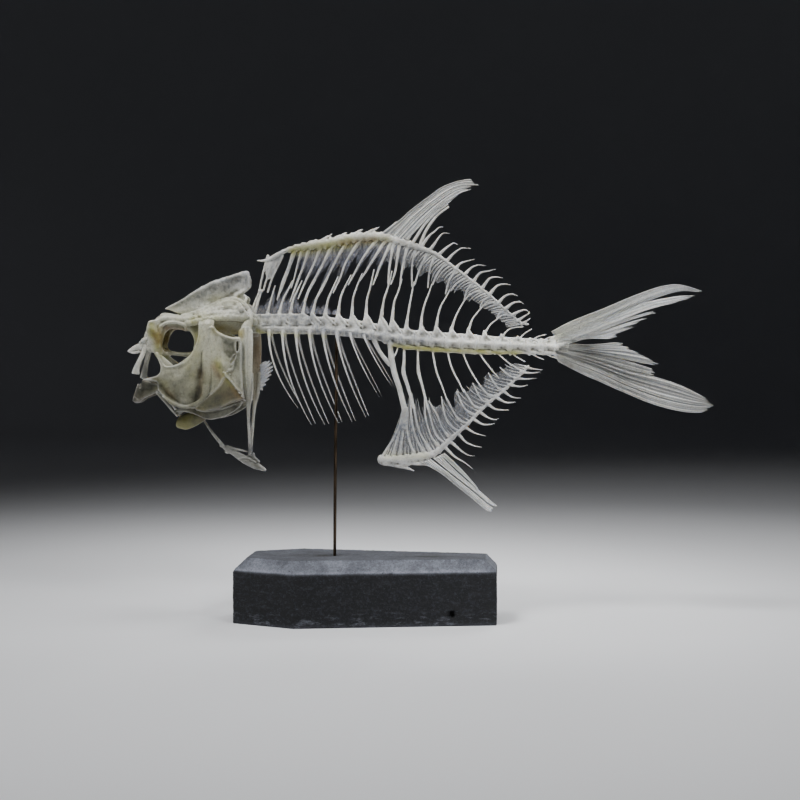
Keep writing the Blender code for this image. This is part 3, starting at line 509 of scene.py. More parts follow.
# the crease colour is painted shade in creases and between rays and also a random mottle; the rim colour is a painted
# highlight on rims and shafts and also pale streaks on rays
boneLook = {"ivory": "efefea", "shade": "cbcac3", "fat": "9d9c4c", "brown": "8f6d42", "cool": "6c717b",
            "dark": "47463a", "creaseShadeAndMottle": "7b796c", "rim": "f7f7f3", "streak": "7f8389", "dirt": "6f6b5c",
            "seat": -0.3, "roughness": 0.46, "subsurface": 0.3, "alpha": 1.0}


# dry bone, boiled and bleached: ivory that clouds over 6 mm and grains over 0.5 mm, darker in creases and between
# rays by painted shade, whiter on rims and shafts by a painted highlight, and stained where the tint attribute says,
# whose dark zones are partly painted shade. Fin rays are streaked lengthwise by their ray number, from a little
# behind seat (in metres of x) on. It looks waxy, as light goes about 1 mm into it
def boneMaterial(name, look):
    made, tree, shader = newMaterial(name)
    where = addNode(tree, "TexCoord")["Object"]
    clouds, spots, grain = [addNode(tree, "TexNoise", {"Vector": where, "Scale": scale, "Detail": detail})["Fac"]
                            for scale, detail in ((170, 4), (520, 3), (1900, 3))]
    tint = addNode(tree, "Attribute", attribute_name="tint")
    raised, ray = [addNode(tree, "Attribute", attribute_name=kept)["Fac"] for kept in ("raised", "ray")]
    fat, brown, cool = addNode(tree, "SeparateColor", (tint["Color"],))
    alongX = addNode(tree, "SeparateXYZ", (where,))["X"]
    behindSeat = addNode(tree, "MapRange", (alongX, look["seat"] - 0.006, look["seat"] + 0.02, 0.1, 1))[0]
    onRay = addNode(tree, "Math", (addNode(tree, "MapRange", (ray,))[0], behindSeat), operation="MULTIPLY")[0]
    streak = addNode(tree, "TexNoise", {"W": ray, "Scale": 0.6, "Detail": 5, "Roughness": 0.78},
                     noise_dimensions="1D")["Fac"]
    colour = layered(tree, look["shade"], [
        (look["ivory"], clouds, 0.35, 0.7, 0, 1, None, "MIX"),
        (look["cool"], spots, 0.36, 0.6, 0.3, 1.2, cool, "MIX"),
        (look["fat"], clouds, 0.36, 0.62, 0.68, 1.1, fat, "MIX"),
        (look["brown"], clouds, 0.36, 0.62, 0.68, 1.1, brown, "MIX"),
        # the dark zones: partly painted shade
        (look["dark"], clouds, 0.36, 0.62, 0.68, 1.1, tint["Alpha"], "MIX"),
        # painted shade: the crease colour darkens creases and the gaps between rays; painted highlight: the rim colour
        # whitens rims and shafts, both by the raised attribute
        (look["creaseShadeAndMottle"], raised, 0.12, 0.47, 0.95, 0, None, "MULTIPLY"),
        (look["rim"], raised, 0.6, 0.95, 0, 0.3, None, "MIX"),
        (look["streak"], streak, 0.54, 0.42, 0, 0.95, onRay, "MIX"),
        (look["rim"], streak, 0.52, 0.6, 0, 1, onRay, "MIX"),
        (look["creaseShadeAndMottle"], spots, 0.3, 0.48, 0.3, 0, None, "MULTIPLY"),
        (look["dirt"], grain, 0.3, 0.52, 0.35, 0, None, "MULTIPLY")])
    pores = addNode(tree, "TexVoronoi", {"Vector": where, "Scale": 1100})["Distance"]
    poreDepth = addNode(tree, "MapRange", (pores, 0, 0.3, 0, 0.5))[0]
    height = addNode(tree, "Math", (grain, poreDepth), operation="ADD")[0]
    worn = look["roughness"]
    plug(tree, shader, {
        "Base Color": colour,
        "Roughness": addNode(tree, "MapRange", (clouds, 0.3, 0.7, worn - 0.08, worn + 0.12))[0],
        "Normal": addNode(tree, "Bump", {"Height": height, "Strength": 0.35, "Distance": 0.00025})[0],
        "Subsurface Weight": look["subsurface"], "Subsurface Radius": (1, 0.8, 0.55), "Subsurface Scale": 0.0012,
        "IOR": 1.5})
    if look["alpha"] < 1:  # dried skin is torn into lace: clear where a noise drawn out along the rays is low
        drawn = addNode(tree, "Mapping", {"Vector": where, "Rotation": (0, 0.5, 0), "Scale": (1, 1, 0.35)})[0]
        lace = addNode(tree, "TexNoise", {"Vector": drawn, "Scale": 620, "Detail": 5, "Roughness": 0.65})["Fac"]
        faded = [addNode(tree, "MapRange", values)[0]
                 for values in ((lace, 0.36, 0.64, 0.08, look["alpha"]), (ray, -1, -0.45))]
        plug(tree, shader, {"Alpha": addNode(tree, "Math", faded, operation="MULTIPLY")[0]})
    return made


# the pale scuff colour is laid on for scuffs and scratches, and as painted light on the top, the chamfer and its edge
concreteLook = {"deep": "060709", "light": "0d0e12", "grit": "272a33", "pit": "0a0b0d", "scuffAndPaintedLight": "868a96",
                "smudge": "1d1b1a", "sandLight": "62666f", "sandDark": "55565a"}


# dark concrete cast in a mould: cloudy blue-grey over 12 mm with fine sand and small air pits darkened by painted
# shade, paler where the mould and handling rubbed it, painted paler on its top, its chamfer and the chamfer's edge as
# if lit from above, scratched near the floor. It looks dull and gritty
def concreteMaterial(name, look):
    made, tree, shader = newMaterial(name)
    where = addNode(tree, "TexCoord")["Object"]
    drawn = addNode(tree, "Mapping", {"Vector": where, "Rotation": (0, 0.3, 0), "Scale": (0.45, 0.6, 1.5)})[0]
    clouds, sand, grit, patches, scratches = [
        addNode(tree, "TexNoise", {"Vector": way, "Scale": scale, "Detail": detail, "Roughness": rough})["Fac"]
        for way, scale, detail, rough in ((where, 210, 9, 0.74), (where, 1500, 4, 0.5), (where, 620, 2, 0.5),
                                          (where, 85, 8, 0.64), (drawn, 300, 7, 0.75))]
    pits = addNode(tree, "TexVoronoi", {"Vector": where, "Scale": 260, "Randomness": 1})["Distance"]
    rubAndPaintedLight, smudge = [addNode(tree, "Attribute", attribute_name=kept)["Fac"] for kept in ("rubAndPaintedLight", "smudge")]
    patchy = addNode(tree, "MapRange", (patches, 0.36, 0.64, 0.66, 1.3))[0]
    # worn carries the painted light on the top, the chamfer and its edge, as well as the rubbed wear, in patches
    worn = addNode(tree, "Math", (rubAndPaintedLight, patchy), operation="MULTIPLY")[0]
    rise = addNode(tree, "SeparateXYZ", (where,))["Z"]
    nearFloor = addNode(tree, "MapRange", (rise, 0, 0.008, 0.5, 0.05))[0]
    colour = layered(tree, look["deep"], [
        (look["light"], clouds, 0.34, 0.66, 0, 1, None, "MIX"),
        (look["grit"], grit, 0.52, 0.66, 0, 0.5, None, "MIX"),
        (look["scuffAndPaintedLight"], grit, 0.36, 0.62, 0.82, 1.06, worn, "MIX"),
        (look["scuffAndPaintedLight"], scratches, 0.53, 0.64, 0, 1, nearFloor, "MIX"),
        (look["smudge"], patches, 0.42, 0.56, 0.1, 0.95, smudge, "MIX"),
        # painted shade darkens the small air pits
        (look["pit"], pits, 0.04, 0.11, 0.7, 0, None, "MIX"),
        (look["sandLight"], sand, 0.56, 0.76, 0, 0.25, None, "MIX"),
        (look["sandDark"], sand, 0.35, 0.6, 0.4, 0, None, "MULTIPLY")])
    pitDepth = addNode(tree, "MapRange", (pits, 0.03, 0.16, 0, 0.8))[0]
    height = addNode(tree, "Math", (sand, pitDepth), operation="ADD")[0]
    plug(tree, shader, {
        "Base Color": colour, "Roughness": addNode(tree, "MapRange", (sand, 0.3, 0.7, 0.8, 0.96))[0],
        "Normal": addNode(tree, "Bump", {"Height": height, "Strength": 0.45, "Distance": 0.0004})[0]})
    return made


rodLook = {"dark": "2e2620", "light": "6a5a48"}


# dark bronzed steel rod, drawn lengthwise and dulled in patches: it shines in thin streaks
def rodMaterial(name, look):
    made, tree, shader = newMaterial(name)
    where = addNode(tree, "TexCoord")["Object"]
    stretched = addNode(tree, "Mapping", {"Vector": where, "Scale": (6, 6, 0.35)})[0]
    streaks = addNode(tree, "TexNoise", {"Vector": stretched, "Scale": 260, "Detail": 4})["Fac"]
    colour = layered(tree, look["dark"], [(look["light"], streaks, 0.35, 0.65, 0, 1, None, "MIX")])
    plug(tree, shader, {"Base Color": colour, "Metallic": 1,
                        "Roughness": addNode(tree, "MapRange", (streaks, 0.3, 0.7, 0.3, 0.5))[0]})
    return made


# what each finish of the bone changes
boneFinishes = {
    "dryBone": {},  # thick bone: bright and even
    "thinBone": {"ivory": "a19c97", "shade": "77716c", "rim": "b9b5ae"},  # a blade so thin that the dark behind it shows through, painted into its colour as shade
    "fatStainedBone": {"ivory": "c2bb8c", "shade": "8d8650", "rim": "d2ccae"},  # yellow from fat left in it
    "driedSkin": {"ivory": "a0a3b0", "shade": "6c6f7c", "rim": "a0a3b0", "cool": "7c7f90", "roughness": 0.4,
                  "alpha": 0.8},  # glassy blue-grey film
    "paintedLitRays": {"ivory": "fafaf6", "shade": "f0efea", "streak": "ccd0d6", "creaseShadeAndMottle": "a9a79b",
                  "seat": 0.1},  # the upper tail lobe's rays, painted whitest as if lit from above
    "lobeRays": {"ivory": "fafaf6", "shade": "e6e5e0", "streak": "b4b8be", "creaseShadeAndMottle": "8f8d80"},  # lighter, with painted shade grey between rays
    "lowerTailRays": {"creaseShadeAndMottle": "8f8d80", "seat": 0.1},  # darker painted shade between rays than in the upper lobe
    "finBone": {"ivory": "dadad7", "shade": "afafac", "rim": "e8e8e4"},  # slim supports, a little greyer
    "slimBone": {"ivory": "cdcdcb", "shade": "a5a5a3", "rim": "dcdcd9"},  # ribs, greyer still
    "shadedBlueWhiteRays": {"ivory": "e6eaf2", "shade": "c2c8d6", "brown": "c6cad6", "dark": "8f95a6",
                      "fat": "d2d2cc"},  # cold white, its blue a painted shade of the far side
    "driedWebbing": {"ivory": "8f9196", "shade": "6a6c72", "roughness": 0.42, "alpha": 0.55},  # a greyer film
}
surface = {name: boneMaterial(name, {**boneLook, **own}) for name, own in boneFinishes.items()}
bone, thinBone, finBone, webbing = [surface[name] for name in ("dryBone", "thinBone", "finBone", "driedWebbing")]
concrete = concreteMaterial("castConcrete", concreteLook)
bronze = rodMaterial("bronzedSteel", rodLook)
print("stage: materials")

# backbone: knots by vertebra number give x, height and half width; arches carry the leaning spines of neuralLines.
# frontReach and rearReach are how far the first and last body reach past their middles
backbone = {
    "trunkLast": 9, "tailFrontLast": 16, "beforeHaemal": 10, "count": 21, "frontReach": 1.4, "rearReach": 3.8,
    "knots": [1, 11, 14, 19, 21], "x": [-58.8, 13.1, 35.3, 76.7, 92],
    "columnX": [-60, -20, -4, 17, 37, 58, 78, 94],
    "columnZ": [149.2, 148.6, 147, 144.1, 142.4, 141.2, 140.3, 139.6],
    "columnRadius": [2.7, 2.7, 2.9, 3.2, 3.2, 3.1, 2.8, 2.6],
}
neuralLines = [
    [(-51.4, 156.7), (-50, 162), (-48.5, 167.2), (-47.4, 170.9)],
    [(-45.4, 156.7), (-43.3, 163.6), (-40.7, 168.7), (-38.3, 173.6)],
    [(-39.6, 156.7), (-38.1, 163.5), (-35.5, 169.2), (-33.5, 173.4)],
    [(-33.2, 156.7), (-31.9, 162.5), (-29.9, 168.1), (-26.3, 174.2)],
    [(-28.3, 156.4), (-26.3, 163.5), (-23.7, 169.1), (-20.9, 174.6)],
    [(-21.7, 156.2), (-20.1, 163.5), (-18, 168.6), (-14.9, 175.4)],
    [(-15, 156), (-13.9, 163.5), (-11.9, 169.1), (-8.3, 176.2)],
    [(-7.8, 155.6), (-7.3, 163.4), (-5.7, 169.1), (-2.6, 176.9)],
    [(-0.6, 155.6), (-0.1, 163.4), (1.5, 169.5), (3.5, 178.9)],
    [(7.1, 154.4), (8.6, 163.4), (10.7, 170), (12.7, 178.1)], [(12.7, 153), (13.8, 161.9), (15.8, 167.4), (17.8, 174)],
    [(19.9, 149.8), (20.9, 155.7), (21.9, 161.8), (22.9, 166.9), (24, 172.5)],
    [(27.5, 149.6), (28.1, 155.7), (29.6, 161.8), (31.6, 166.9), (33.1, 171.5)],
    [(35.2, 149.4), (36.2, 155.2), (37.7, 160.3), (40.3, 164.8), (42.3, 168.5)],
    [(42.9, 148.4), (44.9, 154.1), (47.4, 159.2), (49.9, 163.3), (52.5, 166.4)],
    [(51.5, 147.8), (53.5, 153.1), (56, 156.6), (58.6, 159.7), (61.1, 162.2)],
    [(59.6, 146.4), (62.6, 150.5), (65.7, 153.1), (68.7, 155.6)],
    [(68.3, 144.6), (71.7, 148), (75.3, 149.3), (79.4, 149.6)], [(76.6, 143.6), (80.3, 146.3), (83.6, 148.4)],
    [(83, 142.6), (86.4, 144.4), (90.6, 145.6)], [(88.4, 142.4), (92, 144), (96, 144.9)]]
haemalLines = [
    [(18.9, 140.4), (18.9, 132.8), (18.6, 126.7), (20.4, 120.6), (21.9, 115.5), (24, 108)],
    [(26, 139.8), (26, 132.8), (26.3, 126.7), (28.1, 120.1), (29.6, 113.9), (31.1, 107.5)],
    [(33.2, 139.4), (34.2, 132.8), (35.7, 126.2), (38.3, 119.5), (40.8, 112.4)],
    [(40.8, 138.4), (42.3, 131.8), (44.4, 126.2), (46.9, 121.6), (49.2, 116.6)],
    [(48.4, 138.2), (50.5, 132.3), (53, 127.2), (56.1, 122.1), (59.6, 117.2)],
    [(56, 138.2), (59.6, 132.8), (63.2, 128.2), (67.2, 123.4)], [(65.2, 137.3), (69.7, 133.3), (73.8, 129.7)],
    [(72.8, 136.8), (76.3, 134.3), (80.4, 132)], [(82.4, 136.9), (86, 134.6), (90, 133)],
    [(89.2, 137), (92.6, 134.9), (96.4, 133.6)]]


# x of a vertebra's middle, straight between the knots, as are the column's height and radius at an x
def vertebraX(number):
    return np.interp(number, backbone["knots"], backbone["x"])


def columnZ(x):
    return np.interp(x, backbone["columnX"], backbone["columnZ"])


def columnRadius(x):
    return np.interp(x, backbone["columnX"], backbone["columnRadius"])


# joints between the bodies, half way from one vertebra's middle to the next
def jointsOf(first, last):
    numbers = np.arange(first, last + 2)
    edges = (vertebraX(numbers - 1) + vertebraX(numbers)) / 2
    edges[0] = vertebraX(1) - backbone["frontReach"] if first == 1 else edges[0]
    edges[-1] = vertebraX(last) + backbone["rearReach"] if last == backbone["count"] else edges[-1]
    return edges


# spool-shaped bodies in one row. Between two joints the radius is end radius * profile(share): deep at the
# joint, lipped beside it, narrow at the waist. A ridge along each flank stands between an upper and a lower pit
def centra(first, last):
    share = np.array([0.0, 0.025, 0.07, 0.14, 0.24, 0.36, 0.5, 0.64, 0.76, 0.86, 0.93, 0.975])
    profile = np.array([0.88, 0.99, 1.05, 1.01, 0.92, 0.86, 0.84, 0.86, 0.92, 1.01, 1.05, 0.99])
    edges = jointsOf(first, last)
    x = np.append((edges[:-1, None] + share * np.diff(edges)[:, None]).ravel(), edges[-1])
    shape = np.append(np.tile(profile, len(edges) - 1), 0.9)
    radius = columnRadius(x) * shape
    swell = 0.18 * np.clip((1.02 - shape) / 0.2, 0, 1)[:, None] * np.cos(4 * angles(32) + np.pi) * -1
    return sweep(np.stack([x, columnZ(x)], axis=1), radius, radius, 32, swell)


# sunk spots on both flanks: each point moves in towards y = 0 by depth * bell(distance, radius)
def sunk(shape, spots):
    points = shape[0].copy()
    for x, z, radius, depth in spots:
        away = np.hypot(points[:, 0] - x, points[:, 2] - z)
        inward = np.minimum(depth * bell(away, radius), 0.7 * np.abs(points[:, 1]))
        points[:, 1] -= np.sign(points[:, 1]) * inward
    return points, shape[1], shape[2]


# arch of a neural spine: two thin leaning walls, steep in front and sloping away behind, that meet below the spine
def neuralArch(line, index):
    rootX, rootZ = line[0]
    floorZ = columnZ(rootX)
    size = np.interp(index, [0, 6, 12, 17, 20], [1, 1, 0.9, 0.7, 0.45])
    stout = np.interp(index, [0, 4, 11, 16, 20], [0.75, 0.85, 0.85, 0.6, 0.4])
    rise = max(rootZ - floorZ, 2)
    outline = [(rootX - 0.5, rootZ + 1.4), (rootX + 0.6, rootZ + 1.4), (rootX + 1.7 * size, rootZ - 1.2 * size),
               (rootX + 4.2 * size, floorZ + 3.4 * size), (rootX + 3.4 * size, floorZ + 0.6),
               (rootX - 2.2 * size, floorZ + 0.6), (rootX - 2.4 * size, floorZ + 3.2 * size),
               (rootX - 1.4 * size, rootZ - 1.8 * size)]
    shapes = []
    for side in (-1, 1):
        shapes.append(outlinePlate(closedCurve(outline, 3), lambda flat: side * np.clip(
            2.0 - 1.8 * (flat[:, 1] - floorZ) / rise, 0.15, 2.2), 1.1))
        back = [(rootX + 0.6, side * 0.5, rootZ + 0.2), (rootX + 2.0 * size, side * 1.1, rootZ - 1.9 * size),
                (rootX + 4.3 * size, side * 1.9, floorZ + 3.3 * size),
                (rootX + 5.6 * size, side * 2.1, floorZ + 2.2 * size)]
        shapes.append(strut(back, [0.45, 0.5, 0.6, 0.35], 0.5, 12, 8))
    spine = [(rootX, rootZ - 0.8)] + line[1:]
    wide = [1.3 * stout, 0.72 * stout, 0.64 * stout, 0.54 * stout, 0.36]
    return shapes + [strut(spine, wide, [0.8, 0.55, 0.5, 0.45, 0.35], 24)]


# arch of a haemal spine: two short walls from the column that meet under it, and the spine below them
def haemalArch(line, index):
    rootX, rootZ = line[0]
    stout = np.interp(index, [0, 2, 6, 9], [1, 0.8, 0.6, 0.4])
    widths = {0: [0.65, 0.75, 1.15, 1, 0.9, 0.8], 1: [0.58, 0.62, 0.95, 0.7, 0.65, 0.5]}
    shapes = []
    for side in (-1, 1):
        wall = [(rootX - 0.9, side * 1.9, columnZ(rootX) - 1.2), (rootX - 0.2, side * 1.2, rootZ + 0.8),
                (rootX + 0.1, 0.0, rootZ - 1.4)]
        shapes.append(strut(wall, [1.7, 1.1, 0.6], 0.55, 10))
    own = widths.get(index, [0.7 * stout, 0.68 * stout, 0.62 * stout, 0.5 * stout])
    return shapes + [strut(line, own, [0.6, 0.55, 0.5, 0.4], 26)]


# the stout first haemal prop: two roots that join and run down to the anal fin
def firstHaemal():
    return [strut([(2.6, 145.6), (4, 142), (6, 137.8), (8.6, 134), (11.6, 130.6)], [1.7, 1.3, 1, 1.1, 1.3],
                  [1.7, 1.2, 0.9, 0.9, 1], 20, 12),
            strut([(11.5, 144), (11.9, 139), (12.4, 134), (14, 126.2), (16.4, 118.6), (18, 112.4), (19.4, 106.4)],
                  [2, 1.3, 1.5, 1.5, 1.35, 1.45, 1.5], [1.8, 1.3, 1.2, 1, 0.9, 0.9, 0.8], 34, 14),
            strut([(15.8, 140.8), (15.2, 137.4), (13.6, 134.2)], [0.5, 0.45, 0.5], 0.4, 10, 8)]


# fused last vertebrae and the fan of tail plates behind them, with a groove between plates
def tailPlate():
    stem = strut([(91, 139.8), (95, 140.1), (100, 141.2), (104, 142.6)], [2.5, 2.2, 1.6, 0.8], [2.2, 1.7, 1.2, 0.6],
                 14, 14)
    outline = closedCurve([(90.6, 141.6), (94, 144.6), (97.6, 146.4), (100.6, 147), (102.6, 145), (103, 141.6),
                           (102.6, 137), (100.6, 133), (97, 133.4), (93.6, 136), (90.6, 138.4)], 5)
    grooves = [([(93, 140.6), (105, 141.6)], -0.35, 0.45), ([(93, 141.6), (104.6, 145.6)], -0.3, 0.4),
               ([(93, 139.2), (105, 136.6)], -0.3, 0.4), ([(93, 138.4), (103, 133.4)], -0.25, 0.4)]
    return [stem, outlinePlate(outline, noDepth, 1.4, 0.8, ridges=grooves, follow=1)]


# low wall over the nerve cord or under the blood vessel, from one joint row to another
def canalWall(first, last, above, half, lowest=-99.0):
    edges = jointsOf(first, last)
    x = np.arange(max(edges[0] + 0.2, lowest), edges[-1] - 0.2, 0.45)
    beads = half * (1 + 0.10 * np.cos(2 * np.pi * x / 6.9))
    return sweep(np.stack([x, columnZ(x) + above(x)], axis=1), beads, 1.15, 14)


# how far those walls stand over the column's middle line, and under it
def roof(x):
    return np.interp(x, [-60, -24, 0, 20, 60, 92], [5, 5, 4.7, 3.4, 3, 2.4])


def cellar(x):
    return -np.interp(x, [10, 20, 60, 80], [2.8, 4.3, 4.3, 3.2])


# sunk spots above and below the ridge on each vertebra's flank: x, z, radius and depth
def pits(first, last):
    numbers = np.arange(first, last + 1)
    x = vertebraX(numbers)
    spots = list(zip(x, columnZ(x), np.interp(numbers, [1, 4, 12, 21], [0.5, 1, 1, 0.6])))
    return ([(a + 0.4, b + 2.2, 1.8 * s, 1.35 * s) for a, b, s in spots]
            + [(a, b - 1.4, 1.2 * s, 0.55) for a, b, s in spots])


# fused arches over the first vertebrae, with a block for each, and two slim bones in front of the first spine
def trunkRoof():
    band = closedCurve([(-60, 150.6), (-60.2, 155.6), (-56, 156.4), (-44, 156.6), (-32, 156.4), (-29, 153.6),
                        (-30, 150.8), (-45, 150.6)])
    blocks = [([(x + 3.6, 151), (x + 4.2, 156.6)], -0.5, 1.0) for x in vertebraX(np.arange(1, 5))]
    blocks += [([(x - 0.4, 151), (x + 0.6, 156.2)], 0.35, 1.1) for x in vertebraX(np.arange(1, 6))]
    shapes = [outlinePlate(band, lambda flat: side * (2.3 - 0.22 * (flat[:, 1] - 150.6)), 0.8, ridges=blocks,
                           follow=side, rough=0.12) for side in (-1, 1)]
    return shapes + [strut([(-57.6, 155.6), (-57, 160), (-54.6, 167.6)], [0.8, 0.6, 0.5], 0.5),
                     strut([(-59.6, 155.8), (-58.4, 161), (-55.4, 168.2)], [0.8, 0.55, 0.5], 0.5)]


# the three lengths of backbone: bodies, walls over and under them, arches with their spines and what else is fused on
def makeBackbone():
    last, middle, end = [backbone[key] for key in ("trunkLast", "tailFrontLast", "count")]
    split = middle - backbone["beforeHaemal"] - 1
    for name, node, first, final, walls, before, haemal, after in (
            ("trunkVertebrae", "trunk_vertebrae", 1, last, [(roof, 1.4)], [], range(0), trunkRoof()),
            ("tailVertebraeFront", "tail_vertebrae_front", last + 1, middle, [(roof, 1.3), (cellar, 1.4, 9.0)],
             firstHaemal(), range(split), []),
            ("tailVertebraeRear", "tail_vertebrae_rear", middle + 1, end, [(roof, 1.1), (cellar, 1.2)],
             tailPlate(), range(split, len(haemalLines)), [])):
        shapes = [centra(first, final)] + [canalWall(first, final, *wall) for wall in walls] + before
        for index in range(first - 1, final):
            shapes += neuralArch(neuralLines[index], index)
        for index in haemal:
            shapes += haemalArch(haemalLines[index], index)
        makePiece(name, sunk(grown(shapes + after, 0.3), pits(first, final)), bone, node)


makeBackbone()
print("stage: backbone")

# rootIn is how much nearer to the middle than railY the ribs start, rootBelow how far under the column's middle line
ribTable = {"count": 8, "firstX": -50, "lastX": -1.6, "tipZ": [108.5, 99.9, 99.9, 100.9, 101.5, 104, 114.1, 118.6],
            "sweep": 15.4, "bow": 8.6, "railY": 3, "rootIn": 1.3, "rootBelow": 1}


# a rib leaves the column, bows out as a sine of its share of length and sweeps back as a power of it
def rib(number):
    r = ribTable
    step = (number - 1) / (r["count"] - 1)
    rootX = r["firstX"] + step * (r["lastX"] - r["firstX"])
    rootZ = columnZ(rootX) - r["rootBelow"]
    share = np.linspace(0, 1, 36)
    x = rootX + r["sweep"] * share ** (1.75 - 0.65 * step)
    z = rootZ + share * (r["tipZ"][number - 1] - rootZ)
    y = -r["railY"] + r["rootIn"] * np.exp(-share / 0.04) - r["bow"] * np.sin(np.pi * 0.8 * share)
    stout = 1.0 if number < 7 else 0.8
    width = np.interp(share, [0, 0.03, 0.1, 0.3, 0.7, 1], [1.5, 1.1, 0.7, 0.54, 0.4, 0.24]) * stout
    return sweep(np.stack([x, y, z], axis=1), width, width * 0.72, 10)


# the ribs of one side on the rail that joins their heads
def makeRibs():
    r = ribTable
    x = np.linspace(r["firstX"] - 1.2, r["lastX"] + 1.0, 60)
    rail = sweep(np.stack([x, -r["railY"] + r["rootIn"] + 0 * x, columnZ(x) - r["rootBelow"]], axis=1), 0.8, 0.7, 10)
    bothSides("ribs", grown([rail] + [rib(n) for n in range(1, r["count"] + 1)]), surface["slimBone"])


makeRibs()
print("stage: ribs")

# the back fin's supports. fans of thin supports run from the foot of a fan to where it meets the ridge; sizes are
# half widths of shaft and blade, of the first two shafts and of all others
dorsal = {
    "ridgeFront": [
        (-43.6, 188.2), (-39.6, 189.4), (-34.5, 190.6), (-28.3, 191.4), (-21.6, 192.3), (-13.9, 193.8), (-6.2, 195.3),
        (1.5, 195.9), (9, 195.6), (16, 193.6), (21.6, 191.6)],
    "ridgeRear": [
        (21.9, 191.4), (27.6, 189.6), (33, 187.6), (37.2, 185.3), (41.3, 182.2), (45.9, 178.8), (50.4, 175.3),
        (55, 171.9), (59.1, 168.4), (63.1, 165.2), (67.7, 160.8), (71.7, 157.2), (75.8, 153.6), (79, 151.4),
        (81.8, 150.9)],
    "shafts": [
        [(-36.9, 190.4), (-40.2, 180.4), (-43.3, 172.3), (-46.4, 163.6)],
        [(-33.5, 189.6), (-36, 180.9), (-37.6, 174.3), (-39.2, 169.7)],
        [(-29.4, 191), (-32.4, 181.9), (-36.1, 172.2), (-39.7, 162.5)],
        [(-23.3, 192), (-27.3, 181.9), (-31.4, 173.7), (-35.6, 164)],
        [(-17.4, 193), (-21.6, 183.9), (-25.7, 176.3), (-29.9, 169.1), (-32.5, 162.5)],
        [(-9.5, 194.6), (-14.4, 186.4), (-18.5, 178.8), (-22.1, 171.2), (-25.4, 165)],
        [(-2.2, 195.8), (-7.7, 187.9), (-11.3, 181.8), (-13.9, 174.7), (-17.5, 167.1)],
        [(6.5, 195.8), (1.5, 189.9), (-3.1, 183.3), (-6.7, 176.7), (-9.8, 171.1)],
        [(10.2, 195), (5.6, 187.9), (2, 182.3), (-1.1, 177.2), (-4, 172.9)],
        [(13, 194), (9.2, 186.3), (6.6, 180.7), (4.5, 175.1), (3, 171.1)],
        [(13.6, 193.2), (12.2, 184.8), (11.2, 178.2), (10.7, 171.5)],
        [(16.7, 192.8), (15.3, 183.7), (14.3, 177.6), (12.2, 171.5)],
        [(20.6, 191.4), (19, 184), (17.8, 178.4), (16.8, 171)]],
    "spines": [
        [(-31.4, 191.2), (-28.3, 193.1), (-26.2, 194.4)], [(-26.7, 191.6), (-21.4, 194.9), (-18, 197.2)],
        [(-19.5, 192.9), (-13.8, 196.1), (-10.3, 198.1)], [(-11.3, 194.6), (-5.2, 197.8), (-2.1, 199.6)],
        [(-3.6, 195.4), (2.4, 198.6), (6.1, 200.4)]],
    "fans": [
        ((22.9, 170), (24.9, 190)), ((24.3, 171), (31.4, 187.8)), ((31, 169.6), (34.6, 186)),
        ((33.4, 171), (40.6, 182.2)), ((40, 166.4), (45.4, 178.6)), ((42.6, 168), (50.6, 174.6)),
        ((49.4, 163), (54, 171.8)), ((52.6, 165.8), (59, 167.8)), ((57.6, 159.6), (62.4, 165)),
        ((61.2, 162), (67, 160.8)), ((66, 153.6), (70.6, 158)), ((69, 155.4), (74, 154.6))],
    "web": {
        "pitch": 1.6, "wide": 0.34, "shortest": 0.6, "longest": 1.1, "bend": 0.9, "seed": 2, "swing": 0.14, "waves": 8,
        "phase": 0.1,
    },
    "webTop": [
        (13.6, 193.4), (20.8, 190.8), (26.8, 188.6), (33, 186.6), (37.2, 184.6), (41.3, 181.4), (45.9, 178),
        (50.4, 174.5), (55, 171.1), (59.1, 167.6), (63.1, 164.4), (67.7, 160), (71.7, 156.4), (75.8, 152.9),
        (79.6, 151)],
    "webLow": [
        (9.6, 183.4), (16.4, 181), (21.8, 178.4), (25.8, 177.4), (30.4, 176), (34, 172.6), (38.6, 170.4), (43.2, 167.6),
        (47.6, 166.4), (52.2, 162.8), (56.4, 161), (60.8, 157.8), (64.8, 156), (68.6, 151.4), (71.6, 149.2)],
    "rays": [
        [(27.6, 190.4), (31.6, 195.8), (34.7, 198.3), (36.7, 200.2), (38.9, 200.4)],
        [(31.9, 188.4), (34.7, 192.3), (37.2, 195.8), (39.2, 197.3), (42.3, 197)],
        [(36.2, 185.9), (39.7, 189.2), (42.3, 191.2), (44.3, 192.2), (46.3, 191.2)],
        [(40.4, 182.7), (43.3, 186.1), (46.4, 188.6), (48.4, 189.6), (52.9, 189.4)],
        [(44.9, 179.2), (47.9, 182), (50.9, 183), (55, 184)], [(49.5, 175.9), (53, 179.5), (56.5, 181), (60.6, 180.5)],
        [(54.1, 172.4), (57.5, 176.9), (61.6, 177.9), (65.6, 178.9)],
        [(58.4, 168.9), (62.1, 173.9), (65.6, 174.9), (69.2, 174.3)],
        [(62.2, 165.9), (66.1, 170.3), (69.7, 171.3), (73.2, 170.8)],
        [(66.7, 161.6), (70.2, 165.2), (73.7, 166.2), (76.8, 165.2)],
        [(70.2, 158.6), (74.3, 161.7), (77.8, 162.2), (79.8, 161.1)],
        [(73.6, 155.4), (77.8, 157.6), (80.8, 158.1), (82.7, 156.6)], [(76.6, 152.6), (80.4, 155.2), (82.9, 156.7)],
        [(78.6, 151), (81.4, 152.7), (83.4, 154.2)]],
    "firstSizes": [(0.95, 1.2), (0.35, 0.5)],
    "size": (0.55, 0.9),
    "skinDepths": [0.35, 0.7, 0.9, 0.97, 0.97, 0.97, 0.95, 0.9, 0.8, 0.75, 0.65, 0.6],
    "spineSkinDepths": [0.85, 0.7, 0.6, 0.45, 0.3, 0.2],
}


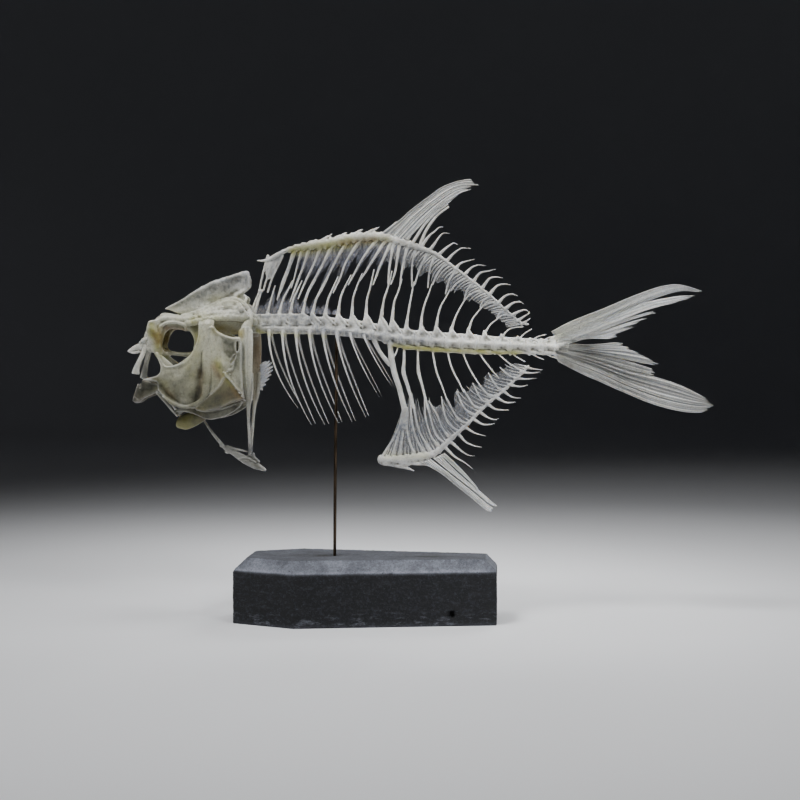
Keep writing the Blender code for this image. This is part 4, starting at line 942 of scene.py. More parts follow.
# thick edge under the fin: it follows the ridge curve, narrows towards both ends and swells a little at every support
def finRidge(line, half, deep, pitch):
    path = curveThrough(line, 12 * len(line))
    run = np.append(0, np.cumsum(np.linalg.norm(np.diff(path, axis=0), axis=1)))
    beads = 1 + 0.16 * np.cos(2 * np.pi * run / pitch) + 0.07 * np.cos(4 * np.pi * run / pitch + 1)
    return sweep(path, spread(half, len(path)) * beads, deep, 14)


# flat grid between a fin edge and the feet of its supports: each line across runs from top to low and bends by
# a quadratic curve, (1 - u)^2 * top + 2 u (1 - u) * knee + u^2 * low, as far as its own reach
def webGrid(top, low, reach, bend, along):
    upper, lower = curveThrough(top, len(reach)), curveThrough(low, len(reach))
    knee = np.stack([lower[:, 0] + 0.38 * (upper[:, 0] - lower[:, 0]) - bend,
                     upper[:, 1] + 0.36 * (lower[:, 1] - upper[:, 1])], axis=1)
    t = (reach[:, None] * np.linspace(0, 1, along))[..., None]
    return upper[:, None] * (1 - t) ** 2 + 2 * knee[:, None] * t * (1 - t) + lower[:, None] * t**2


# how the reach of struts and skin rises and falls along a fin's edge: 1 + swing * cos(2 pi (waves * share + phase))
def surge(look, share):
    return 1 + look["swing"] * np.cos(2 * np.pi * (look["waves"] * share + look["phase"]))


# the fine struts of a fin's edge, one every pitch mm, of unequal length and a little out of line
def webStruts(look, top, low):
    rng = np.random.default_rng(look["seed"])
    count = int(np.linalg.norm(np.diff(np.array(top), axis=0), axis=1).sum() / look["pitch"])
    waves = surge(look, np.linspace(0, 1, count))
    grid = webGrid(top, low, waves * rng.uniform(look["shortest"], look["longest"], count), look["bend"], 14)
    wide = np.array([1.5 * look["wide"], look["wide"], 0.75 * look["wide"], 0.3 * look["wide"]])
    share = np.linspace(0, 1, 14)
    shapes = []
    for line, lag, size in zip(grid, rng.uniform(-0.35, 0.35, count), rng.uniform(0.7, 1.2, count)):
        line = line + np.outer(share**2, [lag, 0.3 * lag])
        path = np.stack([line[:, 0], 0.5 * lag * share, line[:, 1]], axis=1)
        shapes.append(sweep(path, wide * size, wide * 0.9 * size, 7))
    return shapes


# the dried skin between those struts, cut deeper here and there
def webSkin(look, top, low, reach):
    rng = np.random.default_rng(look["seed"] + 1)
    v = np.linspace(0, 1, 160)
    cut = reach + 0.06 * np.sin(31 * v) + 0.05 * np.sin(83 * v + 1) + 0.05 * rng.uniform(-1, 1, 160)
    flat = webGrid(top, low, cut * surge(look, v), look["bend"], 24)
    side = 0.1 * np.sin(60 * v[:, None] + np.linspace(0, 2, 24))
    return sheetBody(np.stack([flat[..., 0], side, flat[..., 1]], axis=-1), 0.05)


# two layers of that skin as one piece
def webSkins(name, d):
    layers = [webSkin(d["web"], d["webTop"], d["webLow"], reach) for reach in (0.9, 0.6)]
    makePiece(name, joined(layers), webbing, slotName="thin_bone")


# a round shaft with a thin blade before and behind it that widens towards the fin edge
def support(line, stout, wing):
    line = curveThrough(line, 24)[::-1]
    share = np.linspace(0, 1, len(line))
    across = unit(np.gradient(line, axis=0))[:, ::-1] * [1, -1]
    reach = (wing * np.clip((share - 0.3) / 0.7, 0, 1) ** 1.4 + 0.3)[:, None]
    shaft = sweep(line, [0.4, 1.1 * stout, stout, stout + 0.1], [0.36, 0.5, 0.6], 10)
    return [shaft, blade(line - across * reach, line + across * reach, 0.4)]


# a short ray, stout at its root, that bends over and thins to a fine tip
def shortRay(line, stout=0.76):
    return strut(line, [1.35 * stout, 0.8 * stout, 0.55 * stout, 0.4 * stout, 0.16], [1, 0.6, 0.45, 0.35, 0.16], 22)


# skin between two lines, as far as depth times their length and less at its middle: line a * (1 - v) + line b * v.
# Its ray number falls from 0 at the root to -1 at the free edge, where the material fades it
def tornSkin(lineA, lineB, depth, seed):
    v = np.linspace(0, 1, 16)[None, :]
    u = np.linspace(0, 1, 40)[:, None]
    reach = depth * (0.9 + 0.1 * np.sin(7 * v + 2 * seed) - 0.1 * np.sin(17 * v + seed)
                     - 0.42 * np.sin(np.pi * v) ** 2)
    at = np.clip(u * reach, 0, 0.999) * 59
    low = at.astype(int)
    t = (at - low)[..., None]
    a, b = [line[low] * (1 - t) + line[low + 1] * t for line in (curveThrough(lineA, 60), curveThrough(lineB, 60))]
    v = v[..., None]
    grid = a * (1 - v) + b * v
    return sheetBody(np.stack([grid[..., 0], 0 * grid[..., 0], grid[..., 1]], axis=-1), 0.05, -u[:, 0])


# the back fin's supports and ridge, the short rays behind them, and the dried skin between the front supports and
# over the feet of the first spines, torn along its free edge
def makeDorsal():
    d = dorsal
    front = [finRidge(d["ridgeFront"], [0.9, 1.6, 2.2, 2.5, 2.4, 2.2, 2.1, 1.8], [0.9, 1.3, 1.5, 1.5], 3.7)]
    for line, size in zip(d["shafts"], d["firstSizes"] + [d["size"]] * len(d["shafts"])):
        front += support(line, *size)
    front += [strut(line, [1.3, 0.8, 0.22], [0.9, 0.6, 0.22], 18) for line in d["spines"]]
    points, quads, tris = grown(front, 0.3)
    onRidge = np.clip((points[:, 2] - 186) / 3, 0, 1)
    points[:, 2] += (0.16 * wander(points, 2.2, 41) + 0.1 * wander(points, 1.0, 42)) * onRidge
    makePiece("dorsalSupportsFront", (points, quads, tris), bone, "dorsal_supports_front")
    rear = [finRidge(d["ridgeRear"], [1.8, 1.1, 0.75, 0.65, 0.65, 0.6, 0.55, 0.5], [1.4, 0.9, 0.7, 0.6], 3.3)]
    for foot, head in d["fans"]:
        middle = (0.45 * foot[0] + 0.55 * head[0] - 1.0, 0.5 * (foot[1] + head[1]) + 0.6)
        rear += support([head, middle, foot], 0.5, 0.8)
    rear += [shortRay(line) for line in d["rays"]]
    shape = joined([grown(rear)] + webStruts(d["web"], d["webTop"], d["webLow"]))
    makePiece("dorsalSupportsRear", shape, finBone, "dorsal_supports_rear")
    webSkins("dorsalWebSkin", d)
    skins = [tornSkin(d["shafts"][k], d["shafts"][k + 1], depth, k) for k, depth in enumerate(d["skinDepths"])]
    skins += [tornSkin(neuralLines[k], neuralLines[k + 1], depth, 20 + k)
              for k, depth in enumerate(d["spineSkinDepths"])]
    skins.append(tornSkin([(-57.6, 155.4), (-55.4, 168.0)], neuralLines[0], 0.7, 30))
    makePiece("dorsalSkin", joined(skins), surface["driedSkin"], slotName="thin_bone")


makeDorsal()
print("stage: dorsal supports")

dorsalLobe = {
    "fan": [
        [(5.6, 195.6), (12.2, 200.7), (17.4, 204.7), (21.4, 208.4), (27, 212.7), (33.1, 217.2), (38.2, 220.7),
         (44.8, 223.2), (50.4, 224.4), (54.9, 224.6)],
        [(13, 194.6), (18, 200), (23, 205.2), (29, 210.4), (35, 214.9), (41, 218.9), (47.6, 221.4), (57.4, 221.4)],
        [(20.4, 193.6), (25, 198.4), (29.6, 203.2), (34, 207.6), (38.6, 211.6), (43.4, 214.9), (48.6, 217.9),
         (54.9, 219.7)]],
    "first": [
        [(5, 195.2), (9, 198.8), (12.6, 201.6), (15.2, 203.8)], [(10, 194.8), (12.6, 198.4), (15.2, 201.4), (17, 203)]],
    "lowRays": [
        [(20, 193.2), (23.6, 198.6), (27.7, 203.4), (33.4, 208.2), (40, 212.8)],
        [(23.2, 192.2), (26.3, 197.2), (29.4, 201.8), (34.6, 207.2), (41, 211.8)],
        [(26.8, 190.8), (29.4, 197.2), (32.4, 202.2), (36.2, 206.6), (41.6, 210.6)]],
    "lowFan": [
        [(29.6, 203.6), (34, 208), (39, 212.2), (44, 215.5), (49.8, 218)],
        [(30.8, 202.8), (35.4, 207.2), (40, 211.2), (44, 214.4), (48, 216.9)]],
}
analLobe = {
    "fans": [
        [[(26.6, 81.2), (37, 75.4), (44.9, 69.1), (52.6, 63), (58.7, 57.9), (63.3, 54.4)],
         [(32.6, 82.4), (40.8, 76), (48.1, 70.4), (55.7, 64.3), (61.7, 59.2), (66, 56.6)]],
        [[(33.4, 82.8), (41.4, 76.4), (48.7, 70.8), (56.2, 64.8), (61.9, 60), (66.2, 57.6)],
         [(37.4, 84.4), (44.4, 77.4), (51.3, 71.2), (58.1, 65.6), (63.6, 60.8), (67.4, 58)]],
        [[(37.6, 84.6), (44.6, 78), (50.4, 72.8), (55, 68.2), (58, 65)],
         [(39.6, 85.4), (45.6, 79.8), (50.6, 74.6), (54.8, 69.8), (57.8, 66.2)]]],
    "rays": [5, 4, 5],
    "ends": [(1, 0.97), (1, 0.97), (1, 0.9)],
}


# the tall first rays of both fins
def makeLobes():
    d = dorsalLobe
    sheets = [raySheet(d["fan"], 17, [2.4, 1.7, 1.2, 0.6], 0.04, 0, 80, 5, 0.62, (1, 0.97, 1, 0.94, 0.99), 5),
              raySheet(d["lowFan"], 5, [1.2, 1.1, 0.9, 0.5], 0.12, 0.1, 50, 5, 0.5, (1, 0.8), 6),
              raySheet(d["first"], 3, [2.2, 1.7, 1], 0.05, 0.15, 30, 5, 0.7)]
    rays = [strut(line, [0.85, 0.75, 0.7, 0.6, 0.4], [0.9, 0.7, 0.6, 0.5, 0.3], 34) for line in d["lowRays"]]
    makePiece("dorsalLobeRays", joined(sheets + rays), bone, "dorsal_lobe")
    sheets = [raySheet(fan, rays, [2.6, 2.2, 1.6, 0.8], 0.05, 0.2 * index, 70, 7, 0.12, ends, 9 + index)
              for index, (fan, rays, ends) in enumerate(zip(analLobe["fans"], analLobe["rays"], analLobe["ends"]))]
    makePiece("analLobeRays", joined(sheets), surface["lobeRays"], "anal_lobe")


makeLobes()

# guides of the tail's ray bundles, each listed from its upper to its lower line, with the number of rays in it and
# how much its tip frays
tailBundles = {
    "upper": [
        ([[(93.6, 147.2), (104, 152.6), (119.8, 158.8), (135, 165.2), (147.8, 169.6), (158, 170.7), (169.8, 167.2)],
          [(97, 142.8), (112, 148.8), (126, 155.2), (140, 161.6), (152, 166), (160, 167.5), (169.8, 166.4)]], 16, 0.03),
        ([[(97.6, 144.2), (113, 150.4), (127, 156.4), (141, 161.8), (150.4, 163.8), (158.6, 165), (167.6, 165.2)],
          [(99.4, 141.6), (115, 147.8), (128, 152.8), (140.6, 157.6), (149, 160), (156, 161.6), (163.4, 163.4)]], 8,
         0.1),
        ([[(100, 142.2), (117, 148.6), (132, 154), (142.6, 157), (149.6, 158.6)],
          [(101, 141.4), (117, 146.8), (130, 151.8), (139.8, 154.8), (146, 156.2)]], 5, 0.12),
        ([[(101.4, 141.6), (117, 146.6), (129.8, 151), (137.6, 153.2), (145, 155.2)],
          [(102.2, 141), (117, 145.4), (127.4, 148.4), (133.6, 150.4), (139.4, 151.4)]], 5, 0.12),
        ([[(103, 141.8), (117, 145.6), (125, 147.8), (131.4, 149.2), (139, 150.8)],
          [(104.4, 142.2), (108.8, 143.6), (116.4, 144.2), (123.6, 145.4), (135.4, 149)]], 5, 0.12),
        ([[(106.6, 143.2), (116.6, 144.8), (123.6, 145.6), (130.6, 146.2)],
          [(107.6, 143), (116, 143.6), (121.8, 143.4), (125.8, 143.8)]], 3, 0.2)],
    "lower": [
        ([[(104, 141), (111.4, 140.5), (119, 141), (124.4, 141.6), (130, 141.4)],
          [(104, 139.6), (112.4, 139), (121.8, 138.6), (129.4, 138.3), (134.4, 138.4)]], 4, 0.12),
        ([[(103.6, 139.8), (116.6, 139), (127, 138.8), (133.2, 137.8), (138, 136.2)],
          [(103.6, 138), (116.6, 136), (127, 133.8), (137.4, 131.6), (145, 130.2), (153, 128.4)]], 8, 0.1),
        ([[(103.6, 137.8), (116.6, 135.6), (129.6, 132.8), (139.8, 129.8), (146.6, 127.6)],
          [(103.4, 136), (116.6, 132.4), (129.6, 128.4), (139.8, 125.8), (146, 124.4)]], 7, 0.06),
        ([[(103.2, 136), (117.6, 132), (132, 127.4), (145.8, 124.2), (157.6, 120.4), (166.4, 116.2), (173, 112.6)],
          [(101, 134), (116.4, 128.2), (131.8, 121.2), (145.6, 116.2), (157.2, 113.2), (167.4, 111.2), (176.2, 110.2)]],
         11, 0.05),
        ([[(101, 134.4), (116.4, 128.6), (131.8, 121.6), (145.6, 116.6), (157.2, 113.4), (167.4, 111.4),
           (176.4, 110.4)],
          [(97, 132), (108.6, 126), (119, 121.4), (131.6, 115.8), (144.4, 110.6), (157, 107.2), (167.2, 106.2),
           (173.6, 107.8)]], 12, 0.04)],
}


# both tail lobes. Bundles stand by turns a little to either side, and short guides start at a common root
def makeTail():
    root, rootZ = 95.2, 139.8
    # the upper lobe's rays are painted lighter than the lower lobe's, as light from above would leave them
    for lobe, look in (("upper", "paintedLitRays"), ("lower", "lowerTailRays")):
        sheets = []
        for index, (guides, rays, fray) in enumerate(tailBundles[lobe]):
            guides = [[(root, rootZ + 0.5 * (guide[0][1] - rootZ))] + guide if guide[0][0] > 99 else guide
                      for guide in guides]
            sheets.append(raySheet(guides, int(rays * 1.35), [2.3, 1.9, 1.5, 0.8], fray, 0.18 * (-1) ** index, 90, 6,
                                   0.22, (1, 0.99, 0.97), 11 + index))
        makePiece("tailRays" + lobe.capitalize(), joined(sheets), surface[look], "caudal_lobe_" + lobe)


makeTail()
print("stage: fin lobes and tail")

anal = {
    "ridge": [
        (6.9, 82), (12.7, 81.8), (19.4, 82.1), (26, 83.2), (32.2, 84.4), (37.3, 87.2), (42.4, 92.2), (47.5, 96.8),
        (52.5, 101.4), (57.6, 107), (62.7, 111.6), (67.7, 115.7), (72.8, 120.3), (77.9, 125), (82.2, 129.8)],
    "supports": [
        [(7.8, 83.2), (10.7, 88.3), (14.3, 94), (16.8, 100.1), (18, 106.3)],
        [(12.9, 83.3), (14.8, 90.9), (16.8, 98.1), (18.6, 106.3)],
        [(16.5, 82.8), (17.8, 91.9), (18.9, 99.6), (19.5, 108.3)],
        [(25.1, 83), (21.9, 90.4), (20.4, 98.1), (19.9, 108.3)], [(30.1, 83.8), (25, 93), (22.8, 102.2), (22.2, 112.4)],
        [(33.9, 84.5), (28.1, 93.5), (25.3, 101.2), (23.6, 110)],
        [(38, 86.9), (32.7, 94), (29.8, 104.3), (29.4, 113.4)],
        [(40.5, 89.5), (35.2, 94.6), (32.7, 102.2), (30.8, 110.4)],
        [(43.6, 92.4), (38.8, 97.6), (35.7, 104.8), (31.6, 111.9)],
        [(47, 96.1), (41.8, 100.2), (39.3, 106.3), (38, 114)],
        [(51.6, 100.2), (46.9, 102.2), (43.9, 106.8), (41, 112.9)],
        [(55.6, 104.3), (51, 106.8), (47.9, 111.4), (45.9, 117)],
        [(59.6, 108.4), (55.1, 108.9), (51.5, 114), (49.2, 118)],
        [(63.6, 112), (59.1, 111.9), (56.1, 116.5), (53.9, 121.1)],
        [(67.2, 115), (62.7, 114.5), (59.5, 117.4), (57, 120.6)],
        [(71.6, 118.6), (68, 117.7), (65.2, 120.6), (61.9, 126.2)], [(76.6, 123.2), (71.8, 125.2), (67.8, 129)],
        [(80, 126.8), (76.6, 128.4), (73.8, 130.4)]],
    "web": {
        "pitch": 1.8, "wide": 0.24, "shortest": 0.6, "longest": 1.1, "bend": 0.5, "seed": 4, "swing": 0.14, "waves": 9,
        "phase": 0.3,
    },
    "webTop": [
        (7.4, 82.6), (12.9, 82.6), (19.4, 82.9), (26, 83.8), (32.2, 85), (37, 87.8), (42, 92.8), (47, 97.4), (52, 102),
        (57.1, 107.6), (62.2, 112.2), (67.2, 116.3), (72.3, 120.9), (77.4, 125.6), (81.4, 129.6)],
    "webLow": [
        (17.9, 108), (18.8, 110.4), (20.2, 111.4), (22, 110.6), (24.2, 109.4), (28.6, 110.8), (32.8, 110.2),
        (37.2, 112.6), (41.8, 112), (46.2, 116.2), (51, 119.2), (56, 121.6), (61.6, 124.6), (68, 128.6), (75.4, 131.4)],
    "spines": [
        [(8.2, 80.6), (14.8, 79), (19.9, 77.8), (24, 76.2)], [(18.4, 81.4), (24.5, 80.2), (29.6, 79.8), (33.8, 78)]],
    "rays": [
        [(40.2, 88), (44.9, 83.4), (49.5, 80.8), (54.4, 77)], [(42.8, 91.1), (47.5, 87), (51.5, 84.4), (55.1, 83.9)],
        [(46.9, 94.9), (50.5, 91), (55.1, 89), (58.6, 88.5)], [(50.4, 98.4), (55.1, 95.6), (60.7, 94.1)],
        [(54, 102.9), (58.6, 100.2), (62.7, 100), (65.2, 100.6)],
        [(57.5, 106.4), (61.2, 103.8), (64.7, 102.5), (67.3, 103.1)],
        [(61.6, 110.4), (65.2, 107.9), (68.8, 107.4), (72.3, 107.4)],
        [(65.6, 114), (70.3, 111.4), (73.3, 111.2), (75.9, 111.5)], [(69.2, 117.2), (73.8, 114), (78.4, 113.5)],
        [(72.2, 120.3), (77.9, 119.3), (81.9, 120.1)], [(75.2, 123.6), (80.9, 123.1), (86.2, 123.6)],
        [(78.3, 126.6), (83.9, 126.2), (88.2, 126.7)], [(81, 129), (84.9, 128.2), (89, 127.8)]],
}


# the anal fin's supports on their ridge, with a lump in front and the end of the haemal prop, and the skin between
def makeAnal():
    a = anal
    shapes = [finRidge(a["ridge"], [2.1, 2.4, 2.1, 1.5, 1, 0.75, 0.7, 0.65, 0.6], [1.7, 1.6, 1.2, 0.8, 0.7, 0.6], 3.4),
              lump((9.6, 0, 80.6), (3.2, 1.5, 1.9), 12), lump((19.4, 0, 80.2), (4, 1.3, 1.7), 13),
              strut([(19.3, 108.4), (19.4, 104), (19, 98)], [1.6, 1.7, 1.6], [0.85, 0.9, 0.8], 14, 14)]
    for index, line in enumerate(a["supports"]):
        shapes += support(line, 0.62 if index < 5 else 0.5, 0.7)
    shapes += [strut(line, [1.5, 1.2, 0.9, 0.3], [1, 0.8, 0.6, 0.3], 20) for line in a["spines"]]
    shapes += [shortRay(line, 0.68) for line in a["rays"]]
    web = webStruts(a["web"], a["webTop"], a["webLow"])
    makePiece("analSupports", joined([grown(shapes)] + web), finBone, "anal_supports")
    webSkins("analSkin", a)


makeAnal()
print("stage: anal supports")


# the small bones between the skull and the back fin. Props are x of the top, x and z of the foot
predorsal = {
    "bar": ([(-56.6, 183.8), (-52.6, 183.8), (-49, 185), (-45.6, 186.8), (-42.6, 188.4)], [0.3, 0.7, 1.2, 1.4, 1],
            [0.35, 0.6, 0.8, 0.8, 0.8], 20),
    "props": [(-51.6, -55.6, 168), (-48, -53.4, 168.6), (-44.2, -51.2, 167.6)], "kneeZ": 175,
    "plate": [(-52.4, 184.4), (-48.6, 185.2), (-43.2, 188), (-44.6, 184.2), (-47.6, 178.6), (-49.6, 174.6),
              (-51.8, 174.6), (-52.6, 179.6)],
    "knob": ((-55, 0, 168.2), (1.4, 0.7, 1), 14),
}


# a bent bar over three props, a thin plate between them and a knob at their feet
def makePredorsal():
    p = predorsal
    shapes = [strut(*p["bar"])]
    for topX, footX, footZ in p["props"]:
        knee = (footX + 0.35 * (topX - footX), p["kneeZ"])
        line = curveThrough([(footX, footZ), knee, (topX, 184.6), (topX + 0.6, 186.4)], 20)
        shapes.append(sweep(line, [0.55, 0.5, 0.7, 0.8], 0.45))
    shapes += [outlinePlate(closedCurve(p["plate"]), noDepth, 0.5, 0.4), lump(*p["knob"])]
    makePiece("predorsalBones", grown(shapes), bone, "predorsal")


makePredorsal()


# sections of the braincase: a roof like a low tent over sides that narrow downwards, from x, low, high and half
# width. Half width at a height is half * (1 - 0.22 * up^2 - 0.45 * down^2), on a ring squared by powers of 0.7
def brainCase(stations, sides=40, perStation=6):
    table = curveThrough(stations, (len(stations) - 1) * perStation + 1)
    x, low, high, half = [table[:, k:k + 1] for k in range(4)]
    side, up = [np.sign(way) * np.abs(way) ** 0.7 for way in (np.cos(angles(sides)), np.sin(angles(sides)))]
    middle = (low + high) / 2 + 0.1 * (high - low)
    z = middle + np.where(up > 0, high - middle, middle - low) * up
    y = half * side * (1 - 0.22 * np.clip(up, 0, 1) ** 2 - 0.45 * np.clip(-up, 0, 1) ** 2)
    rings = np.stack([x + 0 * z, y, z], axis=-1)
    poles = np.stack([rings[0].mean(axis=0), rings[-1].mean(axis=0)])
    return ringBody(rings if x[1, 0] > x[0, 0] else rings[:, ::-1], poles)


# struts are listed for one side as knots (x, y, z), half widths and half depths. Walls are an outline in x and z,
# the depth at middleX and its slope along x, and their ridges. Pits are x, z, radius and depth
skull = {
    "stations": [
        (-58.4, 147.4, 154.6, 3.4), (-61.5, 146.4, 158.6, 6.2), (-66, 146, 161.8, 9.2), (-72, 145.8, 161.8, 10.2),
        (-79, 146.2, 160, 10.6), (-84.6, 147.2, 157.6, 9.8), (-88.6, 149, 156, 8.8), (-92.2, 151.6, 155.8, 8.2),
        (-97.4, 152.6, 156, 7.8), (-102.6, 151.8, 157, 7.8), (-105.6, 145, 157, 7.4), (-107.2, 138.8, 155.6, 7),
        (-109.6, 136.8, 153.7, 6.3), (-112.2, 137.4, 150.9, 5), (-114.5, 138.6, 147.6, 3.4),
        (-115.6, 140.4, 144.4, 1.8)],
    "crest": [
        (-104.9, 159.3), (-100.5, 161.7), (-96.3, 163.9), (-91.6, 167), (-86.3, 170.2), (-80.1, 173.3), (-73.3, 175.5),
        (-68.1, 177.1), (-63.4, 178.5), (-61.3, 178.3), (-60.2, 176), (-59.6, 173), (-59.7, 170.6), (-61.2, 168.6),
        (-63.4, 166.7), (-62.8, 164.4), (-63.2, 161.8), (-64.4, 158), (-70, 155.4), (-80, 154.6), (-93.4, 154.8),
        (-96.2, 156.2), (-99.4, 157.3), (-102.4, 158.5)],
    "crestRidges": [
        ([(-80, 157.5), (-73, 162), (-67, 166), (-63.4, 168.2)], 0.9, 1.1),
        ([(-95, 157.8), (-80, 160), (-68, 163.2)], 0.7, 2.2),
        ([(-101, 160.6), (-86, 168.8), (-72, 174.4), (-62, 176.8)], 0.35, 0.9),
        ([(-76, 166.8), (-68, 171.2)], -0.3, 1.6), ([(-79, 161.8), (-74.6, 161)], -0.35, 0.7),
        ([(-72.6, 164.6), (-67, 168.4)], -0.4, 0.8), ([(-88, 163.6), (-83, 166.2)], -0.22, 2),
        ([(-60.8, 175.6), (-61, 170.6)], 0.4, 0.8)],
    "struts": [
        ([(-94, 5, 155.4), (-88, 5.8, 156.6), (-82, 6.4, 158.4), (-76, 6.6, 161.2), (-70.6, 6.4, 163.2),
          (-66.4, 6, 163.2), (-62.8, 5.4, 161), (-60.2, 4.6, 157.6), (-57.6, 3, 153.6)],
         [1.2, 1.5, 1.7, 1.8, 1.8, 1.7, 1.6, 1.6, 1.5], [1.6, 1.9, 2, 2, 1.9, 1.8, 1.7, 1.6, 1.5]),
        ([(-91.6, 9.6, 151.6), (-88, 10.6, 151.6), (-84, 11, 152.8), (-76, 11.2, 154), (-67, 10.2, 154.4),
          (-60.6, 7.2, 153.6), (-57.4, 4.4, 152.2)], [1.3, 1.7, 1.8, 1.7, 1.8, 2.2, 1.9],
         [0.9, 1.2, 1.4, 1.4, 1.5, 1.8, 1.8]),
        ([(-105.9, 7, 146.6), (-105.4, 7.9, 149.4), (-103.4, 8.5, 151), (-100.6, 8.9, 151.9), (-97, 9.1, 152),
          (-94, 9.3, 151.2), (-91.6, 9.6, 150.6)], [1.1, 1, 0.9, 0.85, 0.85, 0.95, 1.2], [1.1, 1.1, 1, 1, 1, 1, 1.1]),
        ([(-91.4, 9, 151.4), (-91.9, 8.8, 149.2), (-92.2, 8.6, 147.4)], [1.5, 1, 0.3], [1.2, 0.9, 0.3]),
        ([(-84, 8.4, 155.6), (-78, 8.4, 157.2), (-70, 7.8, 159), (-63.6, 6.2, 158)], [1.8, 2.2, 2.6, 2],
         [2, 2.2, 2.2, 1.8]),
        ([(-108.2, 6.2, 138.6), (-106.6, 7, 141), (-105.6, 7.6, 144.8), (-105, 8, 148.8)], [1.5, 1.3, 1.1, 1],
         [1.3, 1.1, 1, 1]),
        ([(-108, 5.6, 137.6), (-104.6, 5.4, 136.4), (-102.8, 4.6, 136.2)], [1.6, 1.2, 1], [1.3, 1.2, 1.2]),
        ([(-90, 8.2, 149.6), (-87.6, 7.8, 146), (-86.8, 7.2, 142.4), (-87.8, 5.6, 138.6)], [1.4, 1.3, 1.2, 1],
         [1.4, 1.3, 1.2, 1]),
        ([(-63.4, 5.6, 160.6), (-61.6, 4, 163.8), (-63, 2.2, 166)], [0.9, 0.8, 0.5], [0.7, 0.6, 0.5]),
        ([(-107.6, 6.4, 152.4), (-104, 7.3, 153.8), (-99, 7.9, 153.8), (-94, 8.2, 153.4), (-89, 8.8, 153.6)],
         [1.2, 1.7, 1.8, 1.8, 1.5], [1, 1.5, 1.6, 1.7, 1.5]),
        ([(-88, 9.6, 154.2), (-84, 9.8, 154.8), (-76, 9.9, 156.2), (-66, 9, 156.6), (-60.6, 6.6, 155.8)],
         [1.3, 1.6, 1.8, 1.9, 1.5], [1.3, 1.6, 1.8, 1.9, 1.5])],
    "walls": [
        ([(-111.1, 152.6), (-106.4, 153.6), (-101.3, 152.7), (-96.1, 151.6), (-92.6, 150.2), (-91.5, 147.6),
          (-94, 147.8), (-97.1, 148.5), (-100.6, 148.4), (-103, 146.1), (-104.2, 142.7), (-104.5, 139.4),
          (-103.4, 136.9), (-105.2, 135.2), (-108.6, 136.3), (-111.1, 139.9), (-112.2, 145.1), (-112.1, 149.6)], 7.4,
         -0.22, -106, [([(-110, 149), (-106.4, 146), (-105.4, 140)], 0.8, 1.6)]),
        ([(-91.5, 148.3), (-89.4, 151.2), (-85.2, 153.2), (-82.6, 150.6), (-82.8, 145.5), (-84, 140.4), (-85.4, 136.6),
          (-87.4, 137.4), (-86.6, 140.9), (-86.8, 144), (-88.6, 146.5)], 8.4, 0.1, -88, []),
        ([(-90, 154), (-86.4, 156.6), (-82, 158.6), (-76, 161.6), (-70.6, 163.4), (-66.4, 163.4), (-63.2, 161),
          (-60.6, 157.6), (-59, 154.2), (-64, 153.2), (-76, 153.4), (-86, 153)], 8.6, 0.04, -75,
         [([(-78, 157.6), (-70, 160), (-64, 158.6)], 0.7, 1.8)])],
    "lumps": [
        ((-113.2, 4, 142.6), (3, 1.9, 2.2), 3), ((-110.6, 5.4, 141.2), (2.4, 1.5, 2.4), 4),
        ((-114.6, 3.4, 139.6), (2.2, 1.8, 2), 5), ((-110.8, 5.2, 138.8), (2.6, 1.4, 1.9), 6),
        ((-115.9, 2.8, 141.6), (1.7, 1.4, 1.3), 7), ((-111.8, 4.9, 144.2), (1.6, 1.2, 1.2), 8),
        ((-91, 6.6, 155), (4.2, 2.6, 1.5), 9)],
    "keel": (
        [(-108, 138.4), (-104, 136.9), (-98, 136), (-92.6, 135.6), (-88.4, 136.4), (-82, 142), (-78, 147)],
        [1.5, 1.2, 1, 1.25, 1.6, 2.4, 2.2], [2, 1.6, 1.1, 1.3, 1.7, 2.6, 3]),
    "pits": [
        (-112.6, 142.2, 1, 0.7), (-110.6, 139.8, 0.9, 0.6), (-71, 158.2, 1.6, 0.5), (-66.4, 160.6, 1.1, 0.5),
        (-77.6, 156, 1.2, 0.4), (-62.4, 157, 0.9, 0.5), (-84.6, 154, 1.4, 0.4), (-99.6, 154.6, 1.4, 0.3)],
}


